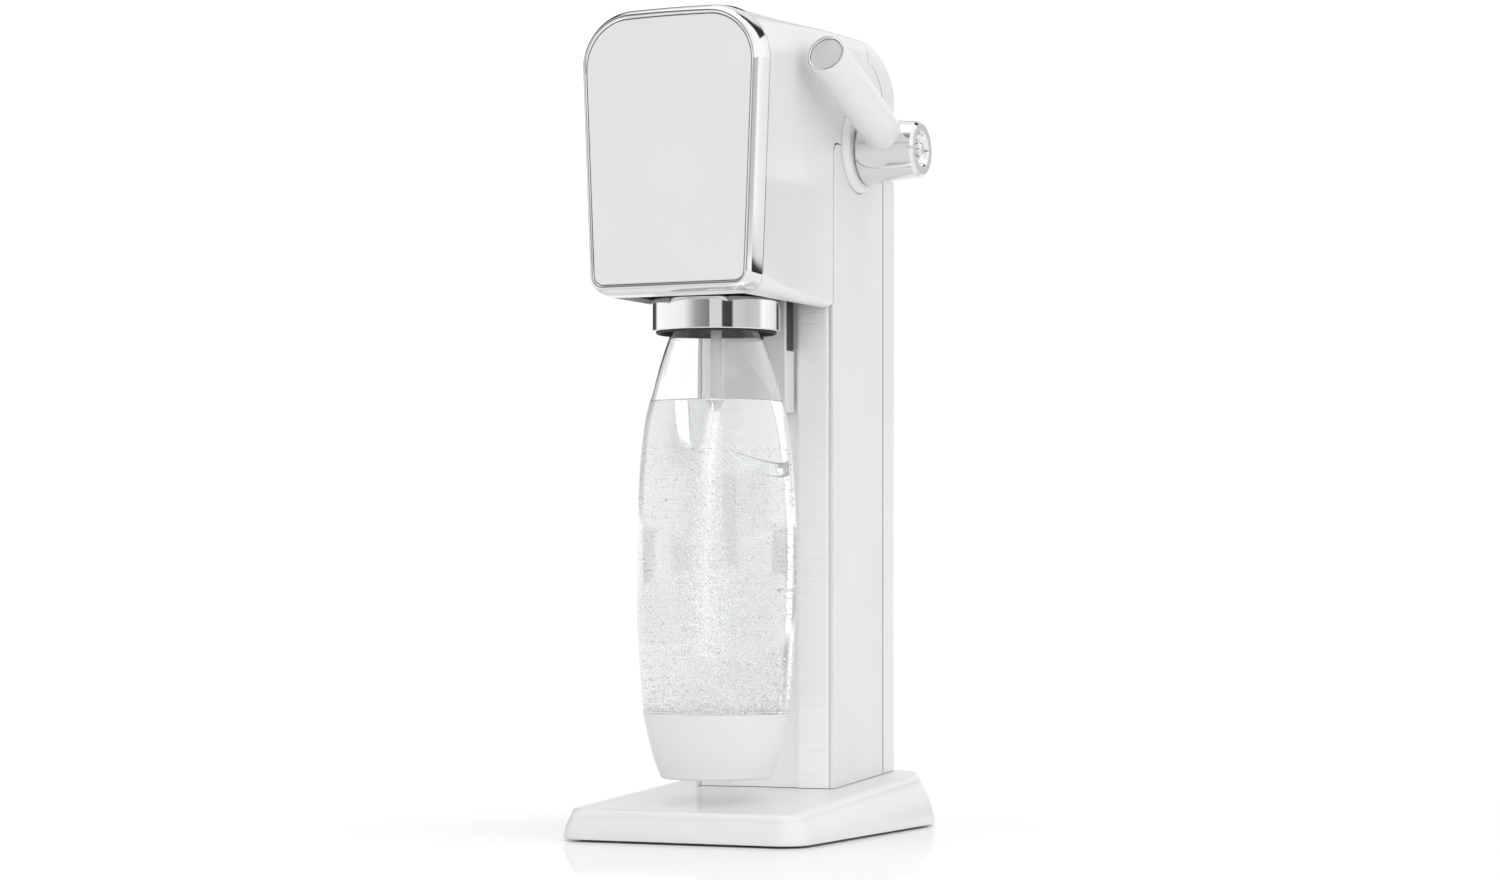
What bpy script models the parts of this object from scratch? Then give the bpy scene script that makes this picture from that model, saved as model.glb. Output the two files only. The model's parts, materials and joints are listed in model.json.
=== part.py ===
"""Countertop soda carbonator: wedge base, gas column, head with a pull lever, tilting carrier and bottle.

Units are metres and +Z is up. The machine faces -Y and its pull lever is on the +X side.
The origin is on the underside of the base, midway between its sides and near mid depth.
"""
import math

import bmesh
import bpy
from mathutils import Matrix, Vector

MM = 0.001
ALONG_X = (1, 0, 0)
GAP = 0.3 * MM                      # clearance between pieces that touch in the real machine
WALL = 2.5 * MM                     # moulded housing wall

# Base: a wedge that rises to the rear, with drafted sides and a soft top edge.
BASE_HALF_WIDTH = 70 * MM
BASE_FRONT_Y = -101 * MM
BASE_REAR_Y = 105 * MM
BASE_CORNER_R, BASE_REAR_CORNER_R = 15 * MM, 24 * MM
BASE_FRONT_TOP_Z = 15.3 * MM        # height of the top plane at the front
BASE_SLOPE = 0.0664                 # rise of the top plane towards the rear
BASE_DRAFT = math.tan(math.radians(20))
BASE_EDGE_R = 4 * MM
BASE_RIM_INSET, BASE_RIM_Z = 3.2 * MM, 1.2 * MM
COVER_THICK = 2.4 * MM
FOOT_DROP = 1.2 * MM
FOOT_R = 7 * MM
FOOT_X, FOOT_FRONT_Y, FOOT_REAR_Y = 52 * MM, -83 * MM, 86 * MM
SCREW_X, SCREW_FRONT_Y, SCREW_REAR_Y = 50 * MM, -68 * MM, 68 * MM

# Column and rear cover.
COLUMN_HALF_WIDTH = 41.2 * MM
COLUMN_FRONT_Y = 11 * MM
COLUMN_TOP_Z = 370.5 * MM
COVER_SEAM_Y = 80 * MM              # side seam between the column and the rear cover
COVER_REAR_Y = 103.5 * MM
COVER_CORNER_R = 9 * MM
COVER_ARC_R = 38 * MM               # the round of the top into the rear
COVER_TOP_SEAM_Y = 56 * MM
BUTTON_Z = 363.5 * MM
PANEL_HALF_WIDTH = 38.2 * MM
PANEL_THICK = 2.2 * MM
CHANNEL_HALF_WIDTH, CHANNEL_DEPTH = 19.2 * MM, 1.2 * MM

# Head.
HEAD_FRONT_Y = -94.5 * MM
HEAD_SEAM_Y = 10.6 * MM             # the head's side panel ends here, against the column
HEAD_BOTTOM_Z = 281.6 * MM
HEAD_FRONT_TOP_Z = 428.9 * MM
HEAD_TOP_RISE = 0.0365
HEAD_CROWN = 1.4 * MM
HEAD_REAR_HALF_WIDTH = 42 * MM
HEAD_REAR_TOP_R, HEAD_REAR_BOTTOM_R = 10 * MM, 4 * MM
FACE_Y = -108 * MM                  # front plane of the front panel
FACE_TOP_HALF_WIDTH = 46.7 * MM
FACE_BOTTOM_HALF_WIDTH = 42.5 * MM
FACE_BOTTOM_Z, FACE_TOP_Z = 287.5 * MM, 422.5 * MM
FACE_TOP_R, FACE_BOTTOM_R = 23 * MM, 5 * MM
FACE_WIDEST_BELOW_TOP = 27 * MM     # level where the face is widest
BEZEL_FLARE = 5 * MM                # how far the bezel stands out at the sides of the face
BEZEL_TOP_FLARE, BEZEL_BOTTOM_FLARE = 6.2 * MM, 5.9 * MM

# Pull lever.
HUB_Y, HUB_Z = 47 * MM, 369.5 * MM
HUB_X0, HUB_X1 = 45.4 * MM, 78 * MM
HUB_R0, HUB_R1 = 18 * MM, 14.2 * MM
HUB_RECESS_R, HUB_BUTTON_R = 9 * MM, 3.6 * MM
BOSS_R, BOSS_Y, BOSS_Z = 24 * MM, 45 * MM, 371 * MM
SHAFT_R = 5 * MM
ARM_R = 10.7 * MM
ARM_FOOT = Vector((60, 33.5, 378.3)) * MM
ARM_TIP = Vector((60, -43.5, 410)) * MM
CAM_LIFT_PER_RADIAN = 2.9 * MM
CAM_R = 9 * MM

# Gas cylinder and valve.
CYLINDER_R = 30 * MM
CYLINDER_Z0, CYLINDER_Z1 = 9 * MM, 290.5 * MM
VALVE_TOP_Z = 329.5 * MM
BLOCK_Z0, BLOCK_Z1 = 310.5 * MM, 343.5 * MM
CHASSIS_Z0, CHASSIS_Z1 = 343.8 * MM, 346.8 * MM
YOKE_Y, YOKE_Z = 58 * MM, 320.5 * MM

# Carrier and bottle, on the bottle's own axis.
BOTTLE_Y = -50 * MM
PIVOT_Z = 303.5 * MM
COLLAR_R = 34.2 * MM
COLLAR_Z0, COLLAR_Z1 = 265.7 * MM, 282.5 * MM
CUP_CEILING_Z = 285.8 * MM
CUP_TOP_Z = 288.8 * MM
TUBE_R = 3.35 * MM
TUBE_TIP_Z = 223 * MM
GUARD_HALF_WIDTH = 18.3 * MM
GUARD_Z0, GUARD_SPLIT_Z = 225.5 * MM, 259.5 * MM
BOTTLE_WALL = 1.2 * MM
MOUTH_Z = 281.5 * MM
BOTTLE_FOOT_Z = 30.9 * MM

# Outside of the bottle: (radius, height) in millimetres, from the mouth down to the foot cup.
BOTTLE_SIDE = [(14, 281.5), (14, 275.5), (20.5, 269.5), (25.2, 262.4), (31, 245.5), (34.6, 232.5), (38, 218.5),
               (40.6, 196.5), (42.2, 168.5), (42.5, 143.5), (41.8, 112.5), (40.2, 86.5), (38.7, 65.7)]
CUP_SIDE = [(38.7, 65.2), (36.7, 55.5), (34.3, 45.5), (32, 38.5), (29.8, 33.1), (27.6, 30.9)]


def clear_scene():
    """Remove whatever objects the file opened with."""
    for item in list(bpy.data.objects):
        bpy.data.objects.remove(item, do_unlink=True)


def material(name, colour, roughness, metallic=0.0, alpha=1.0):
    """A Principled material with one colour and finish."""
    made = bpy.data.materials.new(name)
    made.use_nodes = True
    shader = made.node_tree.nodes["Principled BSDF"]
    shader.inputs["Base Color"].default_value = (*colour, 1)
    shader.inputs["Roughness"].default_value = roughness
    shader.inputs["Metallic"].default_value = metallic
    shader.inputs["Alpha"].default_value = alpha
    return made


def pivot(name, place):
    """An empty on a joint's axis; the pieces that move with the joint hang from it."""
    empty = bpy.data.objects.new(name, None)
    empty.location = place
    bpy.context.collection.objects.link(empty)
    return empty


def add(name, mesh, finish=None, parent=None):
    """Turn a bmesh in world coordinates into a named object."""
    bmesh.ops.recalc_face_normals(mesh, faces=mesh.faces)
    data = bpy.data.meshes.new(name)
    mesh.to_mesh(data)
    mesh.free()
    data.shade_smooth()
    data.set_sharp_from_angle(angle=math.radians(35))
    if finish:
        data.materials.append(finish)
    item = bpy.data.objects.new(name, data)
    bpy.context.collection.objects.link(item)
    if parent:
        item.parent = parent
        item.matrix_parent_inverse = Matrix.Translation(-parent.location)
    return item


def carve(item, mesh, operation="DIFFERENCE"):
    """Cut, join or trim an object with another closed shape."""
    count = len(item.modifiers) + 1
    cutter = add(f"{item.name}_cutter_{count}", mesh, parent=item.parent)
    cutter.hide_render = True
    cutter.display_type = "WIRE"
    change = item.modifiers.new(f"shape_{count}", "BOOLEAN")
    change.operation = operation
    change.object = cutter


def arc(centre, radius, start, end, count):
    """Points along an arc; angles in degrees."""
    turns = [math.radians(start + (end - start) * i / count) for i in range(count + 1)]
    return [(centre[0] + radius * math.cos(t), centre[1] + radius * math.sin(t)) for t in turns]


def prism(outline, sweep):
    """A flat outline of 3D points swept along a vector."""
    mesh = bmesh.new()
    near = [mesh.verts.new(p) for p in outline]
    far = [mesh.verts.new(Vector(p) + Vector(sweep)) for p in outline]
    mesh.faces.new(near)
    mesh.faces.new(far)
    skin(mesh, [near, far])
    return mesh


def box(low, high):
    """A rectangular block between two corners."""
    (x0, y0, z0), (x1, y1, z1) = low, high
    return prism([(x0, y0, z0), (x1, y0, z0), (x1, y1, z0), (x0, y1, z0)], (0, 0, z1 - z0))


def skin(mesh, loops, closed=True):
    """Faces between neighbouring loops of the same number of vertices."""
    for low, high in zip(loops, loops[1:]):
        count = len(low)
        for i in range(count if closed else count - 1):
            j = (i + 1) % count
            mesh.faces.new((low[i], low[j], high[j], high[i]))


def loft(rings, capped=True):
    """Closed rings joined in order; capped at both ends, or joined end to end into a hoop."""
    mesh = bmesh.new()
    loops = [[mesh.verts.new(p) for p in ring] for ring in rings]
    skin(mesh, loops)
    if capped:
        mesh.faces.new(loops[0])
        mesh.faces.new(loops[-1])
    else:
        skin(mesh, [loops[-1], loops[0]])
    return mesh


def cup(outer, inner):
    """An open vessel: outer and inner rings start at its rim and end at its closed side."""
    return loft(list(reversed(outer)) + inner)


def turned(profile, steps, centre, way=(0, 0, 1)):
    """A solid of revolution from a closed profile of (radius, distance along the way) points."""
    mesh = bmesh.new()
    verts = [mesh.verts.new((r, 0, h)) for r, h in profile]
    edges = []
    for first, second in zip(verts, verts[1:] + verts[:1]):
        if first.co.x > 0 or second.co.x > 0:
            edges.append(mesh.edges.new((first, second)))
    bmesh.ops.spin(mesh, geom=verts + edges, cent=(0, 0, 0), axis=(0, 0, 1),
                   angle=math.tau, steps=steps, use_merge=True)
    bmesh.ops.remove_doubles(mesh, verts=mesh.verts, dist=1e-6)
    turn = Vector((0, 0, 1)).rotation_difference(Vector(way)).to_matrix().to_4x4()
    mesh.transform(Matrix.Translation(centre) @ turn)
    return mesh


def rod(radius, start, end, steps=24):
    """A round bar between two points."""
    start, end = Vector(start), Vector(end)
    length = (end - start).length
    return turned([(0, 0), (radius, 0), (radius, length), (0, length)], steps, start, (end - start) / length)


def base_top(y):
    """Height of the base's sloped top plane."""
    return BASE_FRONT_TOP_Z + BASE_SLOPE * (y - BASE_FRONT_Y)


def base_edge(corner_steps=4):
    """The base's plan outline: points with their outward directions."""
    points = []
    corners = [(1, -1, -90), (1, 1, 0), (-1, 1, 90), (-1, -1, 180)]
    for side, depth, start in corners:
        radius = BASE_REAR_CORNER_R if depth > 0 else BASE_CORNER_R
        x = side * (BASE_HALF_WIDTH - radius)
        y = (BASE_REAR_Y if depth > 0 else BASE_FRONT_Y) - depth * radius
        for i in range(corner_steps + 1):
            t = math.radians(start + 90 * i / corner_steps)
            way = (math.cos(t), math.sin(t))
            points.append((x + radius * way[0], y + radius * way[1], way))
    return points


def base_ring(inset, height, draft_at=None):
    """A ring round the base. The height is a function of depth, and so is the level the draft is taken at."""
    ring = []
    for x, y, (nx, ny) in base_edge():
        d = inset
        if draft_at:
            d += BASE_DRAFT * (draft_at(y) - BASE_RIM_Z) * (1 - 0.9 * max(0, ny) ** 4)
        px, py = x - nx * d, y - ny * d
        ring.append((px, py, height(py)))
    return ring


def make_base(white, grey, black, steel):
    """Outer shell, bottom cover, feet and cover screws."""
    rings = [base_ring(1 * MM, lambda y: 0), base_ring(0, lambda y: BASE_RIM_Z)]
    for i in range(3):
        t = math.radians(45 * i)
        drop = BASE_EDGE_R * (1 - math.sin(t))
        rings.append(base_ring(BASE_EDGE_R * (1 - math.cos(t)), lambda y: base_top(y) - drop,
                               lambda y: base_top(y) - BASE_EDGE_R))
    inner = [base_ring(BASE_RIM_INSET, lambda y: 0),
             base_ring(BASE_RIM_INSET, lambda y: COVER_THICK + GAP),
             base_ring(WALL, lambda y: base_top(y) - 6 * MM, lambda y: base_top(y) - 6 * MM),
             base_ring(WALL + 2 * MM, lambda y: base_top(y) - WALL, base_top)]
    shell = add("base_shell", cup(rings, inner), white)
    carve(shell, rod(34 * MM, (0, HUB_Y, 8 * MM), (0, HUB_Y, 40 * MM), 40))
    plate = base_ring(BASE_RIM_INSET + GAP, lambda y: 0)
    cover = add("base_cover", prism(plate, (0, 0, COVER_THICK)), grey)
    number = 0
    for x in (-SCREW_X, SCREW_X):
        for y in (SCREW_FRONT_Y, SCREW_REAR_Y):
            number += 1
            carve(shell, rod(4.5 * MM, (x, y, COVER_THICK + GAP), (x, y, base_top(y) - 1 * MM), 12), "UNION")
            carve(shell, rod(1.7 * MM, (x, y, 1 * MM), (x, y, 10 * MM), 10))
            carve(cover, turned([(0, -1 * MM), (3.4 * MM, -1 * MM), (3.4 * MM, 1.4 * MM), (1.8 * MM, 1.4 * MM),
                                 (1.8 * MM, 4 * MM), (0, 4 * MM)], 12, (x, y, 0)))
            screw = [(0, 0.1 * MM), (2.9 * MM, 0.1 * MM), (2.9 * MM, 1.1 * MM), (1.4 * MM, 1.1 * MM),
                     (1.4 * MM, 9 * MM), (0, 9 * MM)]
            add(f"base_screw_{number}", turned(screw, 10, (x, y, 0)), steel)
    number = 0
    for x in (-FOOT_X, FOOT_X):
        for y in (FOOT_FRONT_Y, FOOT_REAR_Y):
            number += 1
            pad = [(0, -FOOT_DROP), (FOOT_R - 0.5 * MM, -FOOT_DROP), (FOOT_R, -FOOT_DROP + 0.4 * MM),
                   (FOOT_R, -GAP), (0, -GAP)]
            add(f"foot_{number}", turned(pad, 16, (x, y, 0)), black)


def make_column(white):
    """Two-sided outer column, open to the rear, and the ribbed front panel set into it."""
    x, back, front = COLUMN_HALF_WIDTH, COVER_SEAM_Y, COLUMN_FRONT_Y
    edge = PANEL_HALF_WIDTH + GAP
    bed = front + PANEL_THICK + GAP
    right = [(0, bed), (edge, bed), (edge, front), (x - 1 * MM, front), (x, front + 1 * MM), (x, back),
             (x - WALL, back), (x - WALL, bed + WALL)]
    plan = right + [(-a, b) for a, b in reversed(right[1:])]
    column = add("column_shell", upright(plan, COLUMN_TOP_Z), white)
    carve(column, box((-37 * MM, 10 * MM, 290 * MM), (37 * MM, 18 * MM, 380 * MM)))
    carve(column, rod(BOSS_R + GAP, (35 * MM, BOSS_Y, BOSS_Z), (45 * MM, BOSS_Y, BOSS_Z), 40))
    w, c, deep = PANEL_HALF_WIDTH, CHANNEL_HALF_WIDTH, front + CHANNEL_DEPTH
    plan = [(-w, front), (-c, front), (-c, deep), (c, deep), (c, front), (w, front),
            (w, front + PANEL_THICK), (-w, front + PANEL_THICK)]
    add("column_front_panel", upright(plan, 288 * MM), white)


def upright(plan, top):
    """A plan outline standing on the base's sloped top, up to a level."""
    low = [(x, y, base_top(y) + GAP) for x, y in plan]
    return loft([low, [(x, y, top) for x, y in plan]])


def head_top(y):
    """Height of the head's top along the machine, ending in the round down to the rear."""
    rise = HEAD_FRONT_TOP_Z + HEAD_TOP_RISE * (y - HEAD_FRONT_Y)
    start = COVER_REAR_Y - COVER_ARC_R
    if y <= start:
        return rise
    reach = min(y - start, COVER_ARC_R)
    return rise - COVER_ARC_R + math.sqrt(COVER_ARC_R ** 2 - reach ** 2)


def head_half_width(y, front):
    """Half width: flared to the bezel at the front, slimmer towards the column and the rear."""
    if y < HEAD_SEAM_Y:
        t = (HEAD_SEAM_Y - y) / (HEAD_SEAM_Y - HEAD_FRONT_Y)
        return HEAD_REAR_HALF_WIDTH + (front - HEAD_REAR_HALF_WIDTH) * t * t
    step = HEAD_REAR_HALF_WIDTH - COLUMN_HALF_WIDTH
    return HEAD_REAR_HALF_WIDTH - step * min(1, (y - HEAD_SEAM_Y) / (COVER_TOP_SEAM_Y - HEAD_SEAM_Y))


def outline(top_half, bottom_half, low, high, top_r, bottom_r, crown, lip=None):
    """Right half of a housing section, (x, z) from the bottom to the top's middle."""
    start = [(bottom_half - bottom_r - lip, low)] if lip is not None else [(0, low)]
    points = start + arc((bottom_half - bottom_r, low + bottom_r), bottom_r, -90, 0, 3)
    points += [(top_half, high - max(top_r, FACE_WIDEST_BELOW_TOP))]
    points += arc((top_half - top_r, high - top_r), top_r, 0, 90, 6)
    points += [(0.5 * (top_half - top_r), high), (0, high)]
    reach = [max(0, (z - high + top_r) / top_r) * (1 - (x / top_half) ** 2) for x, z in points]
    return [(x, z + crown * amount) for (x, z), amount in zip(points, reach)]


def mirrored(half):
    """A whole section from its right half; a point on the middle plane is used once."""
    return half + [(-x, z) for x, z in reversed(half[:-1]) if x > 1e-9]


def face_ring(flare, y):
    """A closed ring round the front panel's outline, moved outwards by flare."""
    up, down = flare * BEZEL_TOP_FLARE / BEZEL_FLARE, flare * BEZEL_BOTTOM_FLARE / BEZEL_FLARE
    half = outline(FACE_TOP_HALF_WIDTH + flare, FACE_BOTTOM_HALF_WIDTH + flare, FACE_BOTTOM_Z - down,
                   FACE_TOP_Z + up, FACE_TOP_R + flare, FACE_BOTTOM_R + flare, HEAD_CROWN)
    return [(x, y, z) for x, z in mirrored(half)]


def head_section(y, inset):
    """The head's inverted U section at a depth, moved inwards by inset."""
    t = min(1, max(0, (HEAD_SEAM_Y - y) / (HEAD_SEAM_Y - HEAD_FRONT_Y)))
    top_half = head_half_width(y, FACE_TOP_HALF_WIDTH + BEZEL_FLARE) - inset
    bottom_half = head_half_width(y, FACE_BOTTOM_HALF_WIDTH + BEZEL_FLARE) - inset
    top_r = HEAD_REAR_TOP_R + (FACE_TOP_R + BEZEL_FLARE - HEAD_REAR_TOP_R) * t - inset
    bottom_r = HEAD_REAR_BOTTOM_R + (FACE_BOTTOM_R + BEZEL_FLARE - HEAD_REAR_BOTTOM_R) * t * t - inset
    half = outline(top_half, bottom_half, HEAD_BOTTOM_Z + inset, head_top(y) - inset, top_r, bottom_r,
                   HEAD_CROWN * t, lip=0.5 * MM)
    return [(x, y, z) for x, z in half] + [(-x, y, z) for x, z in reversed(half[:-1])]


def seam(gap):
    """The rear cover's seam in the (y, z) plane, from the top down to the column's top."""
    curve = arc((COVER_TOP_SEAM_Y, 396.5 * MM), COVER_SEAM_Y - COVER_TOP_SEAM_Y, 84, 0, 8)
    return [(COVER_TOP_SEAM_Y + gap, 450 * MM)] + [(y + gap, z) for y, z in curve]


def make_head(white, black, chrome, face_white):
    """Glossy head shell, chrome bezel, front panel, dark underside and the boss round the hub."""
    stations = [HEAD_FRONT_Y, -86 * MM, -74 * MM, -58 * MM, -40 * MM, -18 * MM, HEAD_SEAM_Y,
                COVER_TOP_SEAM_Y, 68 * MM, 82 * MM]
    outer = [head_section(y, 0) for y in stations]
    inner = [head_section(y, WALL) for y in stations]
    head = add("head_shell", loft([a + list(reversed(b)) for a, b in zip(outer, inner)]), white)
    far = 90 * MM
    notch = [(HEAD_SEAM_Y, 270 * MM), (HEAD_SEAM_Y, COLUMN_TOP_Z + GAP), (far, COLUMN_TOP_Z + GAP), (far, 270 * MM)]
    carve(head, prism([(-60 * MM, y, z) for y, z in notch], (120 * MM, 0, 0)))
    carve(head, rod(BOSS_R + GAP, (35 * MM, BOSS_Y, BOSS_Z), (45 * MM, BOSS_Y, BOSS_Z), 40))
    behind = seam(0) + [(COVER_SEAM_Y, 360 * MM), (far, 360 * MM), (far, 450 * MM)]
    carve(head, prism([(-60 * MM, y, z) for y, z in behind], (120 * MM, 0, 0)))

    profile = [(0.3, 0.4), (0.8, -0.2), (1.8, -0.1), (3.0, 1.6), (4.0, 4.5), (4.6, 8.5), (5.0, 13.2),
               (2.6, 13.2), (2.1, 8.5), (0.3, 3.6)]
    add("bezel", loft([face_ring(d * MM, FACE_Y + depth * MM) for d, depth in profile], capped=False), chrome)
    plate = [(0, 3.2), (0, 0.6), (-0.6, 0)]
    add("front_panel", loft([face_ring(d * MM, FACE_Y + depth * MM) for d, depth in plate]), face_white)

    half, low, high = 39 * MM, FACE_BOTTOM_Z + GAP, 2 * MM
    notch_x, front, back, open_y = 37 * MM, -101 * MM, 8.5 * MM, -92 * MM
    plan = [(-half, front), (half, front), (half, back), (notch_x, back), (notch_x, open_y),
            (-notch_x, open_y), (-notch_x, back), (-half, back)]
    add("head_underside", prism([(x, y, low) for x, y in plan], (0, 0, high)), black)

    boss = [(0, 38.9), (BOSS_R / MM, 38.9), (BOSS_R / MM, 42.4), (22, 45), (0, 45)]
    ring = add("hub_boss", turned([(r * MM, x * MM) for r, x in boss], 32, (0, BOSS_Y, BOSS_Z), ALONG_X), white)
    carve(ring, rod(9 * MM, (35 * MM, HUB_Y, HUB_Z), (50 * MM, HUB_Y, HUB_Z), 24))


def cover_ring(y, inset):
    """The rear cover's section at a depth: sides, rounded shoulders and top, open at the bottom."""
    start = COVER_REAR_Y - COVER_CORNER_R
    reach = min(max(0, y - start), COVER_CORNER_R)
    squeeze = COVER_CORNER_R - math.sqrt(COVER_CORNER_R ** 2 - reach ** 2)
    half = COLUMN_HALF_WIDTH - squeeze - inset
    top = head_top(y) - inset
    return half, top


def make_rear_cover(white):
    """Rear cover: two short sides, the rear face and the top that rounds over into the head."""
    def ring(y, place_y, inset):
        half, top = cover_ring(y, inset)
        radius = HEAD_REAR_TOP_R - inset
        low = base_top(place_y) + GAP
        side = [(half, low), (half, 200 * MM), (half, top - radius)]
        points = side + arc((half - radius, top - radius), radius, 15, 90, 5)
        points += [(0.5 * (half - radius), top), (0, top)]
        return [(x, place_y, z) for x, z in points] + [(-x, place_y, z) for x, z in reversed(points[:-1])]

    arc_start = COVER_REAR_Y - COVER_ARC_R
    angles = [24, 40, 53, 63, 71, 78, 84]
    depths = [50 * MM, COVER_TOP_SEAM_Y] + [arc_start + COVER_ARC_R * math.sin(math.radians(a)) for a in angles]
    outer = [ring(y, y, 0) for y in depths + [COVER_REAR_Y - 0.02 * MM]]
    scale = (COVER_REAR_Y - WALL - arc_start) / COVER_ARC_R
    inner = [ring(y, arc_start + (y - arc_start) * scale if y > arc_start else y, WALL) for y in depths]
    inner.append(ring(COVER_REAR_Y - 0.02 * MM, COVER_REAR_Y - WALL, WALL))
    mesh = bmesh.new()
    outside = [[mesh.verts.new(p) for p in loop] for loop in outer]
    inside = [[mesh.verts.new(p) for p in loop] for loop in inner]
    skin(mesh, outside, closed=False)
    skin(mesh, inside, closed=False)
    skin(mesh, [outside[0], inside[0]], closed=False)
    for end in (0, -1):
        for i in range(len(outside) - 1):
            mesh.faces.new((outside[i][end], outside[i + 1][end], inside[i + 1][end], inside[i][end]))
    mesh.faces.new(outside[-1])
    mesh.faces.new(inside[-1])
    mesh.faces.new((outside[-1][0], outside[-1][-1], inside[-1][-1], inside[-1][0]))
    axis = pivot("rear_cover_slide", (0, COVER_REAR_Y, 200 * MM))
    cover = add("rear_cover", mesh, white, axis)
    front = seam(GAP) + [(COVER_SEAM_Y + GAP, 0), (40 * MM, 0), (40 * MM, 450 * MM)]
    carve(cover, prism([(-60 * MM, y, z) for y, z in front], (120 * MM, 0, 0)))
    carve(cover, button_block(0.4 * MM, [(9, 6, -7), (9, 6, 3)]))


def button_block(grow, stations):
    """Rounded-rectangle loops (half width, half height, depth from the rear face, in mm) lofted along Y."""
    rings = []
    for half, tall, y in stations:
        a, b, r = half * MM + grow, tall * MM + grow, 3 * MM
        corners = [(a - r, b - r, 0), (-a + r, b - r, 90), (-a + r, -b + r, 180), (a - r, -b + r, 270)]
        ring = []
        for x, z, start in corners:
            ring += [(px, COVER_REAR_Y + y * MM, BUTTON_Z + pz) for px, pz in arc((x, z), r, start, start + 90, 3)]
        rings.append(ring)
    return loft(rings)


def make_cover_button(grey):
    """Push button that frees the rear cover; its flange sits behind the cover's wall."""
    axis = pivot("cover_button_slide", (0, COVER_REAR_Y, BUTTON_Z))
    shape = [(11, 8, -5.8), (11, 8, -2.9), (9, 6, -2.9), (9, 6, -0.8), (8.4, 5.4, -0.2)]
    add("cover_button", button_block(0, shape), grey, axis)


def make_lever(white, chrome, steel, silver, dark):
    """Pull lever: hub, end button, arm with its ring and disc, and the shaft and cam inside."""
    axis = pivot("lever_axis", (0, HUB_Y, HUB_Z))
    centre = (0, HUB_Y, HUB_Z)
    x0, x1 = HUB_X0, HUB_X1
    hub = [(SHAFT_R + GAP, x0), (HUB_R0, x0), (HUB_R1 + 0.1 * MM, x1 - 1.2 * MM), (HUB_R1 - 1 * MM, x1),
           (HUB_RECESS_R + 0.6 * MM, x1), (HUB_RECESS_R, x1 - 0.6 * MM), (HUB_RECESS_R, x1 - 2.6 * MM),
           (HUB_BUTTON_R + GAP, x1 - 2.6 * MM), (HUB_BUTTON_R + GAP, x1 - 6 * MM), (0, x1 - 6 * MM),
           (0, x1 - 12 * MM), (SHAFT_R + GAP, x1 - 12 * MM)]
    add("lever_hub", turned(hub, 28, centre, ALONG_X), chrome, axis)
    knob = [(0, x1 - 5.7 * MM), (HUB_BUTTON_R, x1 - 5.7 * MM), (HUB_BUTTON_R, x1 - 0.3 * MM),
            (HUB_BUTTON_R - 0.8 * MM, x1 + 0.3 * MM), (0, x1 + 0.3 * MM)]
    add("hub_button", turned(knob, 20, centre, ALONG_X), chrome, axis)

    way = (ARM_TIP - ARM_FOOT).normalized()
    length = (ARM_TIP - ARM_FOOT).length
    r = ARM_R
    foot = [(r * math.cos(t), -r * math.sin(t)) for t in [math.radians(15 * i) for i in range(6, -1, -1)]]
    foot[0] = (0, -r)
    lip = [(r, length - 0.5 * MM), (r - 0.5 * MM, length), (r - 0.9 * MM, length), (r - 0.9 * MM, length - 3 * MM),
           (0, length - 3 * MM)]
    arm = add("lever_arm", turned(foot + lip, 24, ARM_FOOT, way), white, axis)
    clear = [(0, x0 - 1 * MM), (HUB_R0 + GAP + 0.12 * MM, x0 - 1 * MM),
             (HUB_R1 + GAP, x1 + 1 * MM), (0, x1 + 1 * MM)]
    carve(arm, turned(clear, 28, centre, ALONG_X))
    s = length - 2.7 * MM
    ring = [(r - 1.2 * MM, s), (r - 1.2 * MM, length + 0.2 * MM), (r - 1.9 * MM, length + 0.2 * MM),
            (r - 2.2 * MM, length - 0.4 * MM), (r - 2.2 * MM, s)]
    add("lever_end_ring", turned(ring, 24, ARM_FOOT, way), chrome, axis)
    disc = [(0, s), (r - 2.5 * MM, s), (r - 2.5 * MM, length - 0.5 * MM), (0, length - 0.2 * MM)]
    add("lever_end_disc", turned(disc, 24, ARM_FOOT, way), silver, axis)

    add("lever_shaft", rod(SHAFT_R, (-33 * MM, HUB_Y, HUB_Z), (65.5 * MM, HUB_Y, HUB_Z), 24), steel, axis)
    lobe = []
    steps = 36
    for i in range(steps):
        turn = math.tau * i / steps
        spread = 1.4
        if turn <= spread:
            radius = CAM_R + CAM_LIFT_PER_RADIAN * turn
        else:
            fall = min(1, (turn - spread) / 1.2)
            radius = CAM_R + CAM_LIFT_PER_RADIAN * spread * 0.5 * (1 + math.cos(math.pi * fall))
        angle = -math.pi / 2 - turn
        lobe.append((-6 * MM, HUB_Y + radius * math.cos(angle), HUB_Z + radius * math.sin(angle)))
    cam = add("cam", prism(lobe, (12 * MM, 0, 0)), dark, axis)
    carve(cam, rod(SHAFT_R + GAP, (-8 * MM, HUB_Y, HUB_Z), (8 * MM, HUB_Y, HUB_Z), 24))


def cam_bottom():
    """Lowest point of the cam at rest, where the spiral's tangent is level."""
    turn = 0.0
    for _ in range(20):
        turn = math.atan2(CAM_LIFT_PER_RADIAN, CAM_R + CAM_LIFT_PER_RADIAN * turn)
    return HUB_Z - (CAM_R + CAM_LIFT_PER_RADIAN * turn) * math.cos(turn)


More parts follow.
